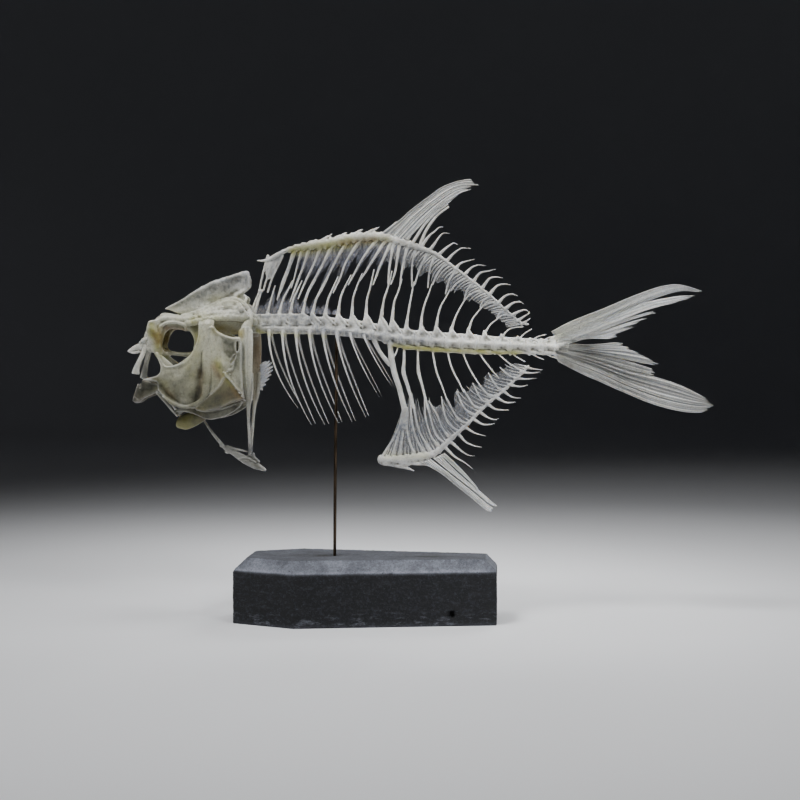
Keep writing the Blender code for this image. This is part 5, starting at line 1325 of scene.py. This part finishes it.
# the skull grown into one bone, roughened all over and more on the snout and the dome
def makeSkull():
    s = skull
    shapes = [brainCase(s["stations"]),
              outlinePlate(closedCurve(s["crest"]), noDepth, 1.3, ridges=s["crestRidges"], follow=1, rough=0.12),
              strut(*s["keel"], 30, 12)]
    for side in (-1, 1):
        for knots, wide, deep in s["struts"]:
            shapes.append(strut([(x, side * y, z) for x, y, z in knots], wide, deep, 30, 12))
        for outline, depth, slope, middleX, ridges in s["walls"]:
            ridges = [(line, side * -height, width) for line, height, width in ridges]
            shapes.append(outlinePlate(closedCurve(outline), lambda flat: side * (
                depth + slope * (flat[:, 0] - middleX)), 1.3, ridges=ridges, follow=1))
        for centre, radii, seed in s["lumps"]:
            shapes.append(lump((centre[0], side * centre[1], centre[2]), radii, seed))
    points, quads, tris = grown(shapes, 0.36, 16)
    x, y, z = points.T
    rough = 0.10 * wander(points, 5.0, 8) + 0.05 * wander(points, 1.7, 9)
    nose = np.exp(-np.clip(x + 109, 0, 9) / 2.0) * bell(np.clip(z - 145, 0, 9), 2.0)
    dome = np.clip((z - 151) / 3, 0, 1) * np.clip((x + 94) / 6, 0, 1)
    domeRough = 0.2 * wander(points, 2.6, 11) + 0.12 * wander(points, 1.2, 12)
    rough += 0.22 * nose * wander(points, 1.3, 10) + dome * domeRough
    # a low keel down the middle of the snout, with a nasal hollow on each side of it
    snout = np.clip((-105.0 - x) / 3, 0, 1)
    hollow = bell(np.abs(y) - 3.3, 1.3) * (bell(z - 148.6, 2.2) + 0.7 * bell(z - 153.4, 1.3))
    rough += snout * (0.35 * bell(y, 0.9) - 0.85 * hollow + 0.16 * wander(points, 2.1, 13))
    points = points + unit(points - [-85, 0, 150]) * rough[:, None]
    makePiece("skull", sunk((points, quads, tris), s["pits"]), bone, "neurocranium")


makeSkull()
print("stage: skull")

# the bones of the cheek and gill cover: outline, holes, ridges and grooves lie in x and z. y is the depth at
# slopeFrom, slope its change for each mm of x, tuck how far the lower edge curls inward and headTuck the upper one
sidePlates = {
    "cheek": {
        "outline": [
            (-107.8, 136.2), (-106.2, 132.6), (-105, 129.4), (-105.4, 126.6), (-107.6, 124.6), (-113.2, 123.3),
            (-115, 122.5), (-110.6, 122), (-106.8, 121.2), (-106.5, 117.2), (-103.4, 113.8), (-99.4, 111), (-95, 109.2),
            (-89, 108.2), (-83.6, 108.4), (-80.4, 112), (-78.6, 120), (-78, 133), (-77, 142), (-76.4, 149.6),
            (-77.2, 156.4), (-81.6, 157.4), (-84.8, 155.6), (-84.7, 148.4), (-85.4, 143.4), (-87, 139), (-89.4, 135.4),
            (-93.4, 132.2), (-97.6, 130.2), (-101.8, 129.8), (-103.6, 131.6), (-104.9, 134.6), (-106.4, 136.9)],
        "y": -7.9, "slope": -0.14, "slopeFrom": -114, "tuck": 1.6, "headTuck": 5, "thick": 0.9, "holes": [],
        "ridges": [
            ([(-84, 152.4), (-84.8, 145), (-86.6, 138.4), (-90, 133), (-94.6, 130.2), (-101.6, 129.6)], 0.75, 1),
            ([(-81, 153), (-82.4, 146), (-84.6, 139), (-88, 132), (-92.4, 126.4), (-98, 122)], 1, 2.3),
            ([(-78.4, 153), (-79.6, 146), (-81.4, 138)], 0.7, 1.6),
            ([(-82.2, 135.6), (-82.8, 130), (-83.6, 124)], -0.7, 1.2),
            ([(-83.6, 126), (-84.6, 120), (-86, 111.6)], -1.5, 2),
            ([(-106.6, 136), (-105.4, 131.6), (-105, 127.4)], 0.5, 0.8),
            ([(-107, 124.2), (-101, 126.4), (-96, 128.2)], 0.35, 1.6), ([(-113, 122.8), (-107, 122.2)], 0.4, 0.6),
            ([(-94, 122), (-95.6, 116), (-93, 111.6)], 0.7, 2.2),
            ([(-105, 119.4), (-101.4, 114.8), (-96.4, 111.6)], -1.2, 1.5),
            ([(-106.4, 117.4), (-102, 113.4), (-97.2, 110.4), (-91, 108.9)], 0.8, 0.6)],
    },
    "opercle": {
        "outline": [
            (-79.5, 150.4), (-76.8, 150.2), (-74.8, 147.6), (-71.2, 145.6), (-67.2, 144.4), (-63, 144), (-61.9, 139),
            (-62, 130), (-61.6, 120), (-60.9, 113.8), (-62.6, 114.2), (-65.7, 118.4), (-70.6, 123.8), (-74, 119),
            (-79, 115), (-80.6, 120), (-80.2, 135)],
        "y": -13, "slope": -0.07, "slopeFrom": -80.5, "tuck": 0.6, "thick": 0.75,
        "holes": [
            [(-64.9, 141.6), (-64, 141.9), (-63.7, 139.4), (-64.2, 137.2), (-64.9, 137.6)],
            [(-66.4, 134.6), (-65.2, 135.6), (-66, 133), (-67.9, 130.9), (-68, 132)]],
        "ridges": [
            ([(-78.6, 149.4), (-76.4, 149), (-74.4, 146.4), (-71, 144.6), (-67, 143.5), (-63.4, 143.1)], 0.7, 0.9),
            ([(-78.2, 148), (-77.2, 138), (-76, 128), (-74.6, 121)], 0.5, 1.4),
            ([(-73.6, 144), (-72, 136), (-71.6, 130)], 0.35, 1), ([(-71, 141.5), (-67.6, 139.6)], -0.45, 1.2),
            ([(-71, 136.6), (-68.4, 134.2)], -0.5, 1), ([(-66.8, 141), (-66.6, 136.6)], -0.4, 1),
            ([(-72.8, 131.6), (-69.8, 129.4)], 0.6, 1.8), ([(-74.4, 124.6), (-73.6, 121)], -0.7, 1.6),
            ([(-70.8, 125.8), (-68.6, 122.6), (-65.7, 119.4), (-62.6, 116.4), (-61.2, 114.2)], 0.9, 0.7),
            ([(-67.6, 126), (-63.6, 121)], -0.4, 1.4), ([(-69, 127.6), (-67, 128.2), (-66.2, 131)], 0.6, 0.6),
            ([(-70.9, 124.8), (-74, 119.8), (-78.6, 115.8)], 0.3, 0.8),
            ([(-62.7, 138), (-62.9, 128), (-62.4, 118)], 0.4, 0.5)],
    },
    "subopercle": {
        "outline": [
            (-70.6, 125), (-72.8, 120.8), (-76.4, 117.2), (-81, 113.4), (-85.7, 109.6), (-86.4, 107.9), (-84.6, 106.9),
            (-81.3, 106.4), (-74.6, 107.7), (-68.5, 110.5), (-63.3, 112.1), (-60.9, 113.3), (-62.4, 116.6),
            (-65.7, 119.6), (-68.8, 123.2)],
        "y": -13.3, "slope": -0.02, "slopeFrom": -82, "tuck": 0.8, "thick": 0.6, "holes": [],
        "ridges": [
            ([(-70.6, 124.6), (-72.9, 120.2), (-76.6, 116.6), (-81, 112.9), (-85.6, 109.2)], 0.35, 0.9),
            ([(-86, 107.7), (-81.3, 107.1), (-74.6, 108.4), (-68.5, 111.1), (-63.3, 112.8)], 0.4, 0.8),
            ([(-78, 111.6), (-70, 115.4)], -0.3, 2.8)],
    },
    "lower_jaw": {
        "outline": [
            (-115.7, 122.6), (-112, 122), (-108.4, 121.2), (-106.2, 119.8), (-106.4, 117), (-110.1, 114.9),
            (-114.3, 113.2), (-117.6, 110.9), (-120.4, 110.9), (-121.7, 112.4), (-120.2, 116.6), (-118.7, 120.4),
            (-118.1, 120.7), (-117.6, 118.8), (-116.6, 118.6), (-116.2, 120.6)],
        "y": -0.85, "slope": -0.48, "slopeFrom": -121.6, "tuck": 0, "thick": 0.9, "holes": [],
        "ridges": [
            ([(-115.4, 122), (-112, 121.5), (-107.6, 120.4)], 0.6, 0.55),
            ([(-107.4, 117.2), (-113.6, 114), (-119.6, 111.4)], 0.5, 0.7),
            ([(-118.4, 119.6), (-120.9, 112.6)], 0.45, 0.6), ([(-116, 117.6), (-110, 117.8)], -0.35, 1.6),
            ([(-120.4, 113.4), (-118.6, 112)], 0.6, 0.8)],
    },
}


# dried crumbs of bone and flesh on the gill cover: x, z, size
gillNodules = [
    (-70.4, 125.2, 0.9), (-69.2, 123.8, 0.7), (-67.6, 122, 0.8), (-66.2, 120.2, 0.6), (-65, 118.4, 0.8),
    (-63.2, 116.2, 0.9), (-61.9, 114.6, 0.8), (-69.6, 127, 0.6), (-67, 130.4, 0.6), (-66.2, 132, 0.5),
    (-71.6, 126.6, 0.5), (-68.2, 125.6, 0.5)]


# depth of a side plate: y + slope * (x - slopeFrom) + tuck * (share of the way down)^2 + headTuck * (way up)^1.5
def plateDepth(look):
    lowZ, highZ = [most(point[1] for point in look["outline"]) for most in (min, max)]

    def middle(flat):
        down = np.clip((0.5 * (lowZ + highZ) - flat[:, 1]) / (0.5 * (highZ - lowZ)), 0, 1)
        under = np.clip((flat[:, 1] - 150.5) / 6, 0, 1.2)
        return (look["y"] + look["slope"] * (flat[:, 0] - look["slopeFrom"]) + look["tuck"] * down**2
                + look.get("headTuck", 0) * under**1.5)
    return middle


# one bone of the cheek or gill cover, on the left side
def sidePlate(name):
    look = sidePlates[name]
    return outlinePlate(closedCurve(look["outline"]), plateDepth(look), look["thick"], cell=0.28,
                        holes=[closedCurve(hole, 3) for hole in look["holes"]], ridges=look["ridges"])


# the rim under the eye, and the crescent before the gill cover: knots (x, y, z), half widths and half depths
cover = {
    "rim": ([(-108, -6.6, 136.8), (-105.2, -7.8, 133.8), (-101.6, -8.8, 130.8), (-99, -9.4, 129.6)],
            [1.3, 1.5, 1.7, 1], [0.5, 0.45, 0.4, 0.3], 20, 12),
    "crescent": [(-80.2, -11.9, 151.4), (-79.8, -12.7, 143), (-80, -13.4, 134), (-80.4, -13.8, 121),
                 (-82.6, -13.4, 112.8), (-90.6, -12.4, 109), (-97.5, -11.4, 110.2), (-103.6, -10.2, 114.2)],
    "wide": [1.2, 2.4, 2.5, 2.1, 1.4, 1, 0.7, 0.5], "deep": [0.3, 0.45, 0.6, 0.6, 0.45, 0.4],
}


# cheek and gill cover
def makeCover():
    c = cover
    bothSides("cheek", joined([sidePlate("cheek"), strut(*c["rim"])]), bone)
    crumbs = [lump((x, -13.0 - 0.07 * (x + 80.5) - 0.3, z), (size, 0.45, 0.7 * size), 60 + index, 6, 10)
              for index, (x, z, size) in enumerate(gillNodules)]
    bothSides("opercle", joined([sidePlate("opercle")] + crumbs), bone)
    bothSides("subopercle", sidePlate("subopercle"), thinBone, slotName="thin_bone")
    bothSides("lower_jaw", sidePlate("lower_jaw"), thinBone)
    keel = 0.3 * bell(angles(24) - 1.5 * np.pi, 0.6) - 0.06 * bell(angles(24) - 1.2 * np.pi, 0.3)
    shape = sweep(curveThrough(c["crescent"], 90), spread(c["wide"], 90), spread(c["deep"], 90), 24, keel)
    bothSides("preopercle", shape, bone)


# the upper jaw: struts of the premaxilla on the left side, and how far each maxilla's tip hangs down
jaws = {
    "premaxilla": [([(-123.6, -0.9, 137.4), (-121.6, -1.2, 138.3), (-119.4, -1.8, 139.2), (-116.8, -2.6, 139.8)],
                    [0.6, 1.2, 1.5, 1.9], [0.5, 0.75, 0.9, 1]),
                   ([(-123.4, -0.8, 137.2), (-121, -1.4, 136.6), (-118, -2.2, 137.2)], [0.5, 0.6, 0.6], 0.5, 10)],
    "leftDrop": 0, "rightDrop": 2.4, "wide": [1.5, 1.25, 1.25, 1.7, 2.1], "deep": [0.95, 0.75, 0.65, 0.55, 0.4],
}


# both bones of the upper jaw. The right maxilla hangs lower than the left one
def makeJaws():
    j = jaws
    bothSides("premaxilla", grown([strut(*row) for row in j["premaxilla"]], 0.22), bone)
    for side, drop, tag in ((-1, j["leftDrop"], "left"), (1, j["rightDrop"], "right")):
        line = curveThrough([(-113.6, side * 4.2, 140.4), (-114.6, side * 5.6, 136.6),
                             (-116.3, side * 7.0, 132.4 - drop * 0.5), (-117.7, side * 8.2, 128.2 - drop),
                             (-118.0, side * 8.6, 125.9 - drop)], 36)
        makePiece("maxillaBone" + tag.capitalize(), sweep(line, j["wide"], j["deep"], 16), bone, "maxilla_" + tag)


# the tongue arch: struts of the left side, and sections of the bone that hangs in front of it, as in brainCase
tongueArch = {
    "struts": [([(-98.6, -3.4, 106.4), (-94, -4.6, 107.6), (-88, -6.8, 107), (-80, -9, 104.9), (-72, -10.2, 106.4),
                 (-65.2, -10.9, 109.6), (-62.8, -11, 111.6)], [0.7, 1.4, 1.9, 2.6, 2.4, 1.6, 0.5],
                [0.5, 0.7, 0.6, 0.45, 0.4, 0.35, 0.3], 46, 16),
               ([(-86, -7.6, 107.6), (-80.6, -9.4, 107), (-73, -10.7, 108.2), (-66, -11.2, 110.4)],
                [0.7, 0.6, 0.55, 0.4], 0.5, 24),
               ([(-107.2, -8.2, 116.4), (-103.6, -6.4, 111.8), (-100.4, -4.4, 107.4), (-97.9, -2.9, 104.2)],
                [0.9, 0.75, 0.7, 0.6], 0.5, 26),
               ([(-105.6, -8, 115.8), (-101.6, -6, 111.4), (-97.6, -3.6, 107.2), (-96.4, -2.6, 105.8)],
                [0.5, 0.45, 0.45, 0.9], 0.4, 26),
               ([(-98.4, -3, 104.6), (-96.6, -2.4, 106), (-95.6, -2.2, 106.8)], [0.6, 0.7, 0.4], 0.45, 10)],
    "stations": [(-98.9, 98.4, 101, 1.2), (-97.4, 97.6, 103.4, 2.4), (-93.6, 97, 105.4, 2.8),
                 (-88.8, 98.8, 106.6, 2.6), (-85, 101, 106.4, 2.1), (-82.8, 103, 105.6, 1.2)],
}


# both halves of the tongue arch, and the bone between them
def makeTongueArch():
    bothSides("hyoid", grown([strut(*row) for row in tongueArch["struts"]], 0.26), bone)
    shape = brainCase(tongueArch["stations"], 28, 8)
    makePiece("urohyalBone", shape, surface["fatStainedBone"], "urohyal", slotName="fat_stained_bone")


makeCover()
makeJaws()
makeTongueArch()
print("stage: head plates")


# the shoulder girdle: the blade's line and half widths, its flutes as place round it (in half turns) and height,
# how the flutes fade from top to foot, and the struts grown onto it
shoulder = {
    "line": [(-60.7, -10.9, 149), (-60.6, -11.9, 145.6), (-60.4, -12.5, 137), (-60.2, -12.3, 126),
             (-59.9, -11.2, 115.6), (-60, -8.4, 106), (-60.2, -4.2, 94), (-60.4, -1.3, 84.8)],
    "wide": [2.6, 3, 3.1, 2.8, 2.4, 1.4, 0.8, 0.75, 0.75, 0.8], "deep": [0.9, 0.7, 0.7, 0.65, 0.6, 0.55, 0.5, 0.5],
    "flutes": [(1.17, 0.5), (1.33, -0.32), (1.5, 0.4), (1.63, -0.35), (1.8, 0.5)],
    "fadeAt": [0, 0.08, 0.5, 0.62, 1], "fade": [0, 1, 1, 0.3, 0],
    "struts": [([(-60.6, -11.4, 145.6), (-60.4, -10.6, 149), (-59.4, -8.4, 152.6), (-59.6, -6, 156.4),
                 (-61.6, -5, 160)], [2.9, 2.8, 2, 1.5, 1], [0.9, 1, 1.1, 1, 0.8], 24),
               ([(-61.6, -11.6, 117.4), (-62.6, -11.4, 114), (-61, -10.8, 112.2)], [0.7, 0.9, 0.5], 0.5, 12),
               ([(-57.6, -11.2, 126), (-58, -10.2, 116), (-59.4, -8.6, 108), (-59.8, -6.4, 100)],
                [0.9, 0.9, 0.6, 0.4], 0.5, 24)],
}


# a long blade swollen by its flutes: the sum of height * bell(angle - place, width) that fades downwards
def makeShoulder():
    s = shoulder
    flute = sum(height * bell(angles(40) - at * np.pi, 0.16) for at, height in s["flutes"])
    fade = np.interp(np.linspace(0, 1, 110), s["fadeAt"], s["fade"])[:, None]
    fluted = sweep(curveThrough(s["line"], 110), spread(s["wide"], 110), s["deep"], 40, flute * fade)
    bothSides("cleithrum", joined([grown([strut(*row) for row in s["struts"]], 0.3), fluted]), bone)


# the right breast fin's stub: where the first ray's foot stands, how far down the next one is, and the rays' tips
breastFin = {
    "foot": (-57, 12.4, 129.6), "pitch": 1.45,
    "tips": [(-54.2, 131.9), (-52.6, 132.3), (-51.6, 131.4), (-50.9, 129.6), (-51.1, 127.6), (-51.9, 125.4),
             (-53, 123), (-54.6, 120.2), (-56.2, 117.2)],
}


# short rays from a column of feet to their tips, bowed outwards a little
def makeBreastFin():
    footX, footY, footZ = breastFin["foot"]
    fin = []
    for k, (topX, topZ) in enumerate(breastFin["tips"]):
        low = footZ - breastFin["pitch"] * k
        fin.append(strut([(footX, footY, low), (0.5 * (footX + topX), 12.9, 0.5 * (low + topZ) + 0.2),
                          (topX, footY + 0.35 * (topX - footX), topZ)], [0.95, 0.85, 0.35], [0.35, 0.3, 0.22], 10))
    makePiece("pectoralRays", joined(fin), surface["shadedBlueWhiteRays"], "pectoral_fin_right", slotName="thin_bone")


# the pelvis: struts as knots, half widths, half depths, stations and sides, and knobs as centre, radii and seed
pelvis = {
    "struts": [([(-84.5, 101.9), (-80.8, 96.2), (-77.2, 91.6), (-73.6, 87.5), (-68.9, 84.9), (-63.2, 81.6),
                 (-58, 78.8), (-52.8, 76.3)], [0.6, 0.7, 0.8, 1, 1.4, 2.2, 2.1, 0.8],
                [0.6, 0.7, 0.7, 0.8, 1, 1.3, 1.2, 0.7], 60, 18),
               ([(-72.6, 88.2), (-69.9, 87.2), (-66.3, 86.7), (-62.1, 85.7)], [1, 0.8, 0.6, 0.35],
                [0.8, 0.7, 0.5, 0.35], 22, 12)],
    "knobs": [((-75.3, 0, 88.6), (1.2, 0.8, 0.8), 15), ((-72.2, 0, 85.5), (1.5, 0.9, 0.9), 16)],
    "splints": [([(-66.4, 82), (-62.4, 82.6), (-57.6, 80.4)], [0.7, 0.9, 0.6], [1.5, 1.7, 1.3], 16),
                ([(-61, 84), (-58.6, 82.6), (-55.8, 80.6)], [0.8, 0.9, 0.5], [0.8, 0.8, 0.5], 16),
                ([(-58.8, 84.9), (-58.2, 82.8)], [0.5, 0.5], 0.5, 6)],
}


# a long bone that thickens to the rear, with knobs and short splints on it, a little crooked sideways
def makePelvis():
    shapes = [strut(*row) for row in pelvis["struts"]] + [lump(*row) for row in pelvis["knobs"]]
    points, quads, tris = grown(shapes + [strut(*row) for row in pelvis["splints"]])
    points[:, 1] += 0.12 * wander(points * [0.4, 1, 1], 2.0, 12)
    makePiece("pelvicBones", (points, quads, tris), bone, "pelvis")


makeShoulder()
makeBreastFin()
makePelvis()
print("stage: shoulder and pelvis")

# the cast base and the rod. foot and top are half of the base's plan, as x and half width; hole and pit are air
# holes in its front wall, as x, z and radius; the last line is the number of rings over each of its faces
stand = {
    "height": 33.0, "chamferZ": 27.0,
    "foot": [(-66.5, 18.0), (-34.0, 32.0), (66.5, 15.0)], "top": [(-60.0, 13.5), (-37.0, 25.0), (61.0, 11.0)],
    "rodRadius": 0.8, "rodFootX": -16.8, "rodTopX": -15.7,
    "hole": (44.0, 6.0, 1.7), "pit": (14.0, 26.2, 0.7),
    "around": 360, "underside": 14, "wall": 52, "chamfer": 14, "lid": 34,
}


# all corners of a plan given as half of it, and a ring through corners with count points on each side
def cornersOf(plan):
    return np.array([(x, -d) for x, d in plan] + [(x, d) for x, d in reversed(plan)])


def planRing(corners, count):
    after = np.roll(corners, -1, axis=0)
    return np.concatenate([a + (b - a) * (np.arange(n) / n)[:, None] for a, b, n in zip(corners, after, count)])


# the base's rings of a six-cornered plan, from the middle of its underside over the walls to the middle of its top
def baseRings():
    s = stand
    corners = cornersOf(s["foot"])
    length = np.linalg.norm(np.roll(corners, -1, axis=0) - corners, axis=1)
    count = np.maximum(8, (s["around"] * length / length.sum()).astype(int))
    foot, top = planRing(corners, count), planRing(cornersOf(s["top"]), count)
    bevel = s["height"] - s["chamferZ"]
    levels = [(foot * share, 0) for share in np.linspace(0.06, 0.99, s["underside"])] + [(foot * 0.996, 0.12)]
    levels += [(foot, z) for z in np.linspace(0.6, s["chamferZ"] - 0.5, s["wall"])]
    levels += [(foot * (1 - share) + top * share, s["chamferZ"] + share * bevel)
               for share in np.linspace(0.05, 0.95, s["chamfer"])]
    levels += [(top * share, s["height"] - 0.02) for share in np.linspace(0.99, 0.04, s["lid"])]
    return np.array([np.column_stack([flat, np.full(len(flat), float(z))]) for flat, z in levels])


# the cast base. Every point wanders inward a little so that the edges look cast and worn, the top sags a little,
# more round the rod's foot, and the holes are half ellipsoids. The rubbed wear along the floor with the painted light
# on the top, the chamfer and its edge, and the smudges, are kept for the concrete's material
def makeBase():
    s = stand
    rings = baseRings()
    flat = rings.reshape(-1, 3)
    inward = unit(np.column_stack([-flat[:, :2], 0 * flat[:, 2]]))
    dent = 0.10 * (1 + wander(flat, 9.0, 21)) + 0.06 * (1 + wander(flat, 2.6, 22)) + 0.05 * (1 + wander(flat, 1.1, 23))
    side = np.clip(flat[:, 2] / 0.8, 0, 1)
    onWall = (flat[:, 2] > 0.05) & (flat[:, 2] < s["chamferZ"] + 0.2)
    wear = bell(flat[:, 2] - s["chamferZ"], 0.7) * 0.25 * (1 + wander(flat, 5.0, 24))
    flat = flat + inward * ((dent * side + wear) * (flat[:, 2] < s["height"] - 0.5))[:, None]
    sag = 0.08 * (1 + wander(flat, 4.0, 25)) + 0.05 * (1 + wander(flat, 1.5, 26))
    flat[:, 2] -= np.where(flat[:, 2] > s["chamferZ"], sag, 0)
    for x, z, radius in (s["hole"], s["pit"]):
        away = np.hypot(flat[:, 0] - x, (flat[:, 2] - z) / 1.15)
        depth = 2.2 * radius * np.clip(1 - (away / radius) ** 2, 0, 1) ** 0.5
        flat[:, 1] += np.where(onWall & (flat[:, 1] < 0), depth, 0)
    away = np.hypot(flat[:, 0] - s["rodFootX"], flat[:, 1])
    flat[:, 2] -= np.where(flat[:, 2] > s["height"] - 1.0, 0.7 * bell(away, 3.2), 0)
    rings = flat.reshape(rings.shape)
    shape = ringBody(rings, np.stack([rings[0].mean(axis=0), rings[-1].mean(axis=0)]))
    piece = makePiece("castBase", shape, concrete, "stand_base", slotName="cast_concrete")
    x, y, z = shape[0].T
    within = insideOf(shape[0][:, :2], cornersOf(s["top"]))
    onChamfer = np.clip((z - s["chamferZ"] + 0.3) / 0.5, 0, 1) * ~within
    onTop = within & (z > s["height"] - 1.0)
    # painted light: the chamfer, the edge under it and the top are made paler as if lit from above; the band along the
    # floor is rubbed wear
    rubAndPaintedLight = 0.1 * bell(z, 1.6) + onChamfer * 0.63 + 0.35 * bell(z - s["chamferZ"], 0.8) + onTop * 0.3
    handled = bell(np.hypot((x + 27) / 12, (y + 3) / 5), 1) + 0.8 * bell(np.hypot((x - 32) / 14, (y + 4) / 4), 1)
    ring = bell(np.hypot(x - s["rodFootX"], 1.6 * y) - 4.5, 2.2)
    store(piece.data, "rubAndPaintedLight", np.clip(rubAndPaintedLight, 0, 1))
    store(piece.data, "smudge", onTop * np.clip(1.3 * (handled + ring), 0, 1))


# the rod stands in the base and leans a little to the tail on its way up to the column
def makeRod():
    s = stand
    footX, topX = s["rodFootX"], s["rodTopX"]
    topZ = columnZ(topX) - columnRadius(topX) * 0.72
    line = curveThrough([(footX, s["height"] - 0.6), (footX + 0.3, 70), (footX + 0.75, 108), (topX, topZ)], 60)
    shape = sweep(line, s["rodRadius"], s["rodRadius"], 20)
    makePiece("bronzeRod", shape, bronze, "stand_rod", slotName="dark_metal_rod")


makeBase()
makeRod()
print("stage: stand")

# backdrop, light and camera, in metres. The backdrop is one bowl turned about z: floor as far as reach, then a
# quarter circle of radius bend, then a wall up to wallTop. Lights are name, place, size, power, spread and, where
# it isn't aim, what they point at
stage = {"floor": "e4e5e8", "reach": 2.2, "bend": 1.2, "wallTop": 6.0, "world": (0.36, 0.37, 0.40, 1.0),
         "worldStrength": 0.05, "aim": (0.02, 0.0, 0.125),
         "lights": [("key", (-0.42, -0.50, 1.12), 0.36, 1.7, 1.1), ("fill", (1.30, -1.30, 1.05), 1.0, 0.55, 1.0),
                    ("rim", (0.40, 0.75, 0.70), 0.5, 0.5, 1.0), ("top", (0.10, -0.02, 1.15), 0.5, 0.55, 1.0),
                    ("tail", (0.56, -0.52, 0.66), 0.3, 0.17, 0.28, (0.155, 0.0, 0.168))],
         "cameraAt": (0.06897166, -0.74583368, 0.12907722), "cameraLook": (-0.06973909, 0.99731545, -0.02232369),
         "lens": 65.9}


# the bowl's mesh, open at the top, with its faces towards the inside
def makeFloor():
    turn = np.linspace(0, np.pi / 2, 25)
    reach, bend, wallTop = stage["reach"], stage["bend"], stage["wallTop"]
    away = np.concatenate([[0.3, 1.2], reach + bend * np.sin(turn), [reach + bend]])[:, None]
    z = np.concatenate([[0, 0], bend * (1 - np.cos(turn)), [wallTop]])[:, None]
    angle = angles(96)
    rings = np.stack([away * np.cos(angle), away * np.sin(angle), z + 0 * angle], axis=-1)
    points, quads, tris = ringBody(rings, np.array([[0, 0, 0], [0, 0, wallTop]]))
    bottom = tris[(tris != len(points) - 1).all(axis=1)]  # no lid on the bowl
    mesh = bpy.data.meshes.new("floor")
    mesh.from_pydata(points[:-1].tolist(), [], [f[::-1] for f in quads.tolist() + bottom.tolist()])
    mesh.polygons.foreach_set("use_smooth", np.ones(len(mesh.polygons), bool))
    floor = placed("floor", mesh)
    made, tree, shader = newMaterial("paleFloor")  # matt pale paint, even
    plug(tree, shader, {"Base Color": hexColour(stage["floor"]), "Roughness": 0.7})
    mesh.materials.append(made)


# turns an object so that its -Z axis looks along a way
def face(thing, way):
    thing.rotation_euler = way.to_track_quat("-Z", "Y").to_euler()


# soft disk lights, a faint even world light and the camera
def makeLights():
    for name, at, size, power, spreadAngle, *own in stage["lights"]:
        data = bpy.data.lights.new(name, "AREA")
        for key, value in (("shape", "DISK"), ("size", size), ("energy", power), ("spread", spreadAngle)):
            setattr(data, key, value)
        light = placed(name, data)
        light.location = at
        face(light, Vector(own[0] if own else stage["aim"]) - Vector(at))
    world = bpy.data.worlds.new("studio")
    world.use_nodes = True
    plug(world.node_tree, world.node_tree.nodes["Background"], (stage["world"], stage["worldStrength"]))
    bpy.context.scene.world = world
    data = bpy.data.cameras.new("camera")
    for key, value in (("lens", stage["lens"]), ("sensor_width", 36), ("clip_start", 0.01), ("clip_end", 60)):
        setattr(data, key, value)
    camera = placed("camera", data)
    camera.location = stage["cameraAt"]
    face(camera, Vector(stage["cameraLook"]))
    bpy.context.scene.camera = camera


makeFloor()
makeLights()
print("stage: floor, light and camera")
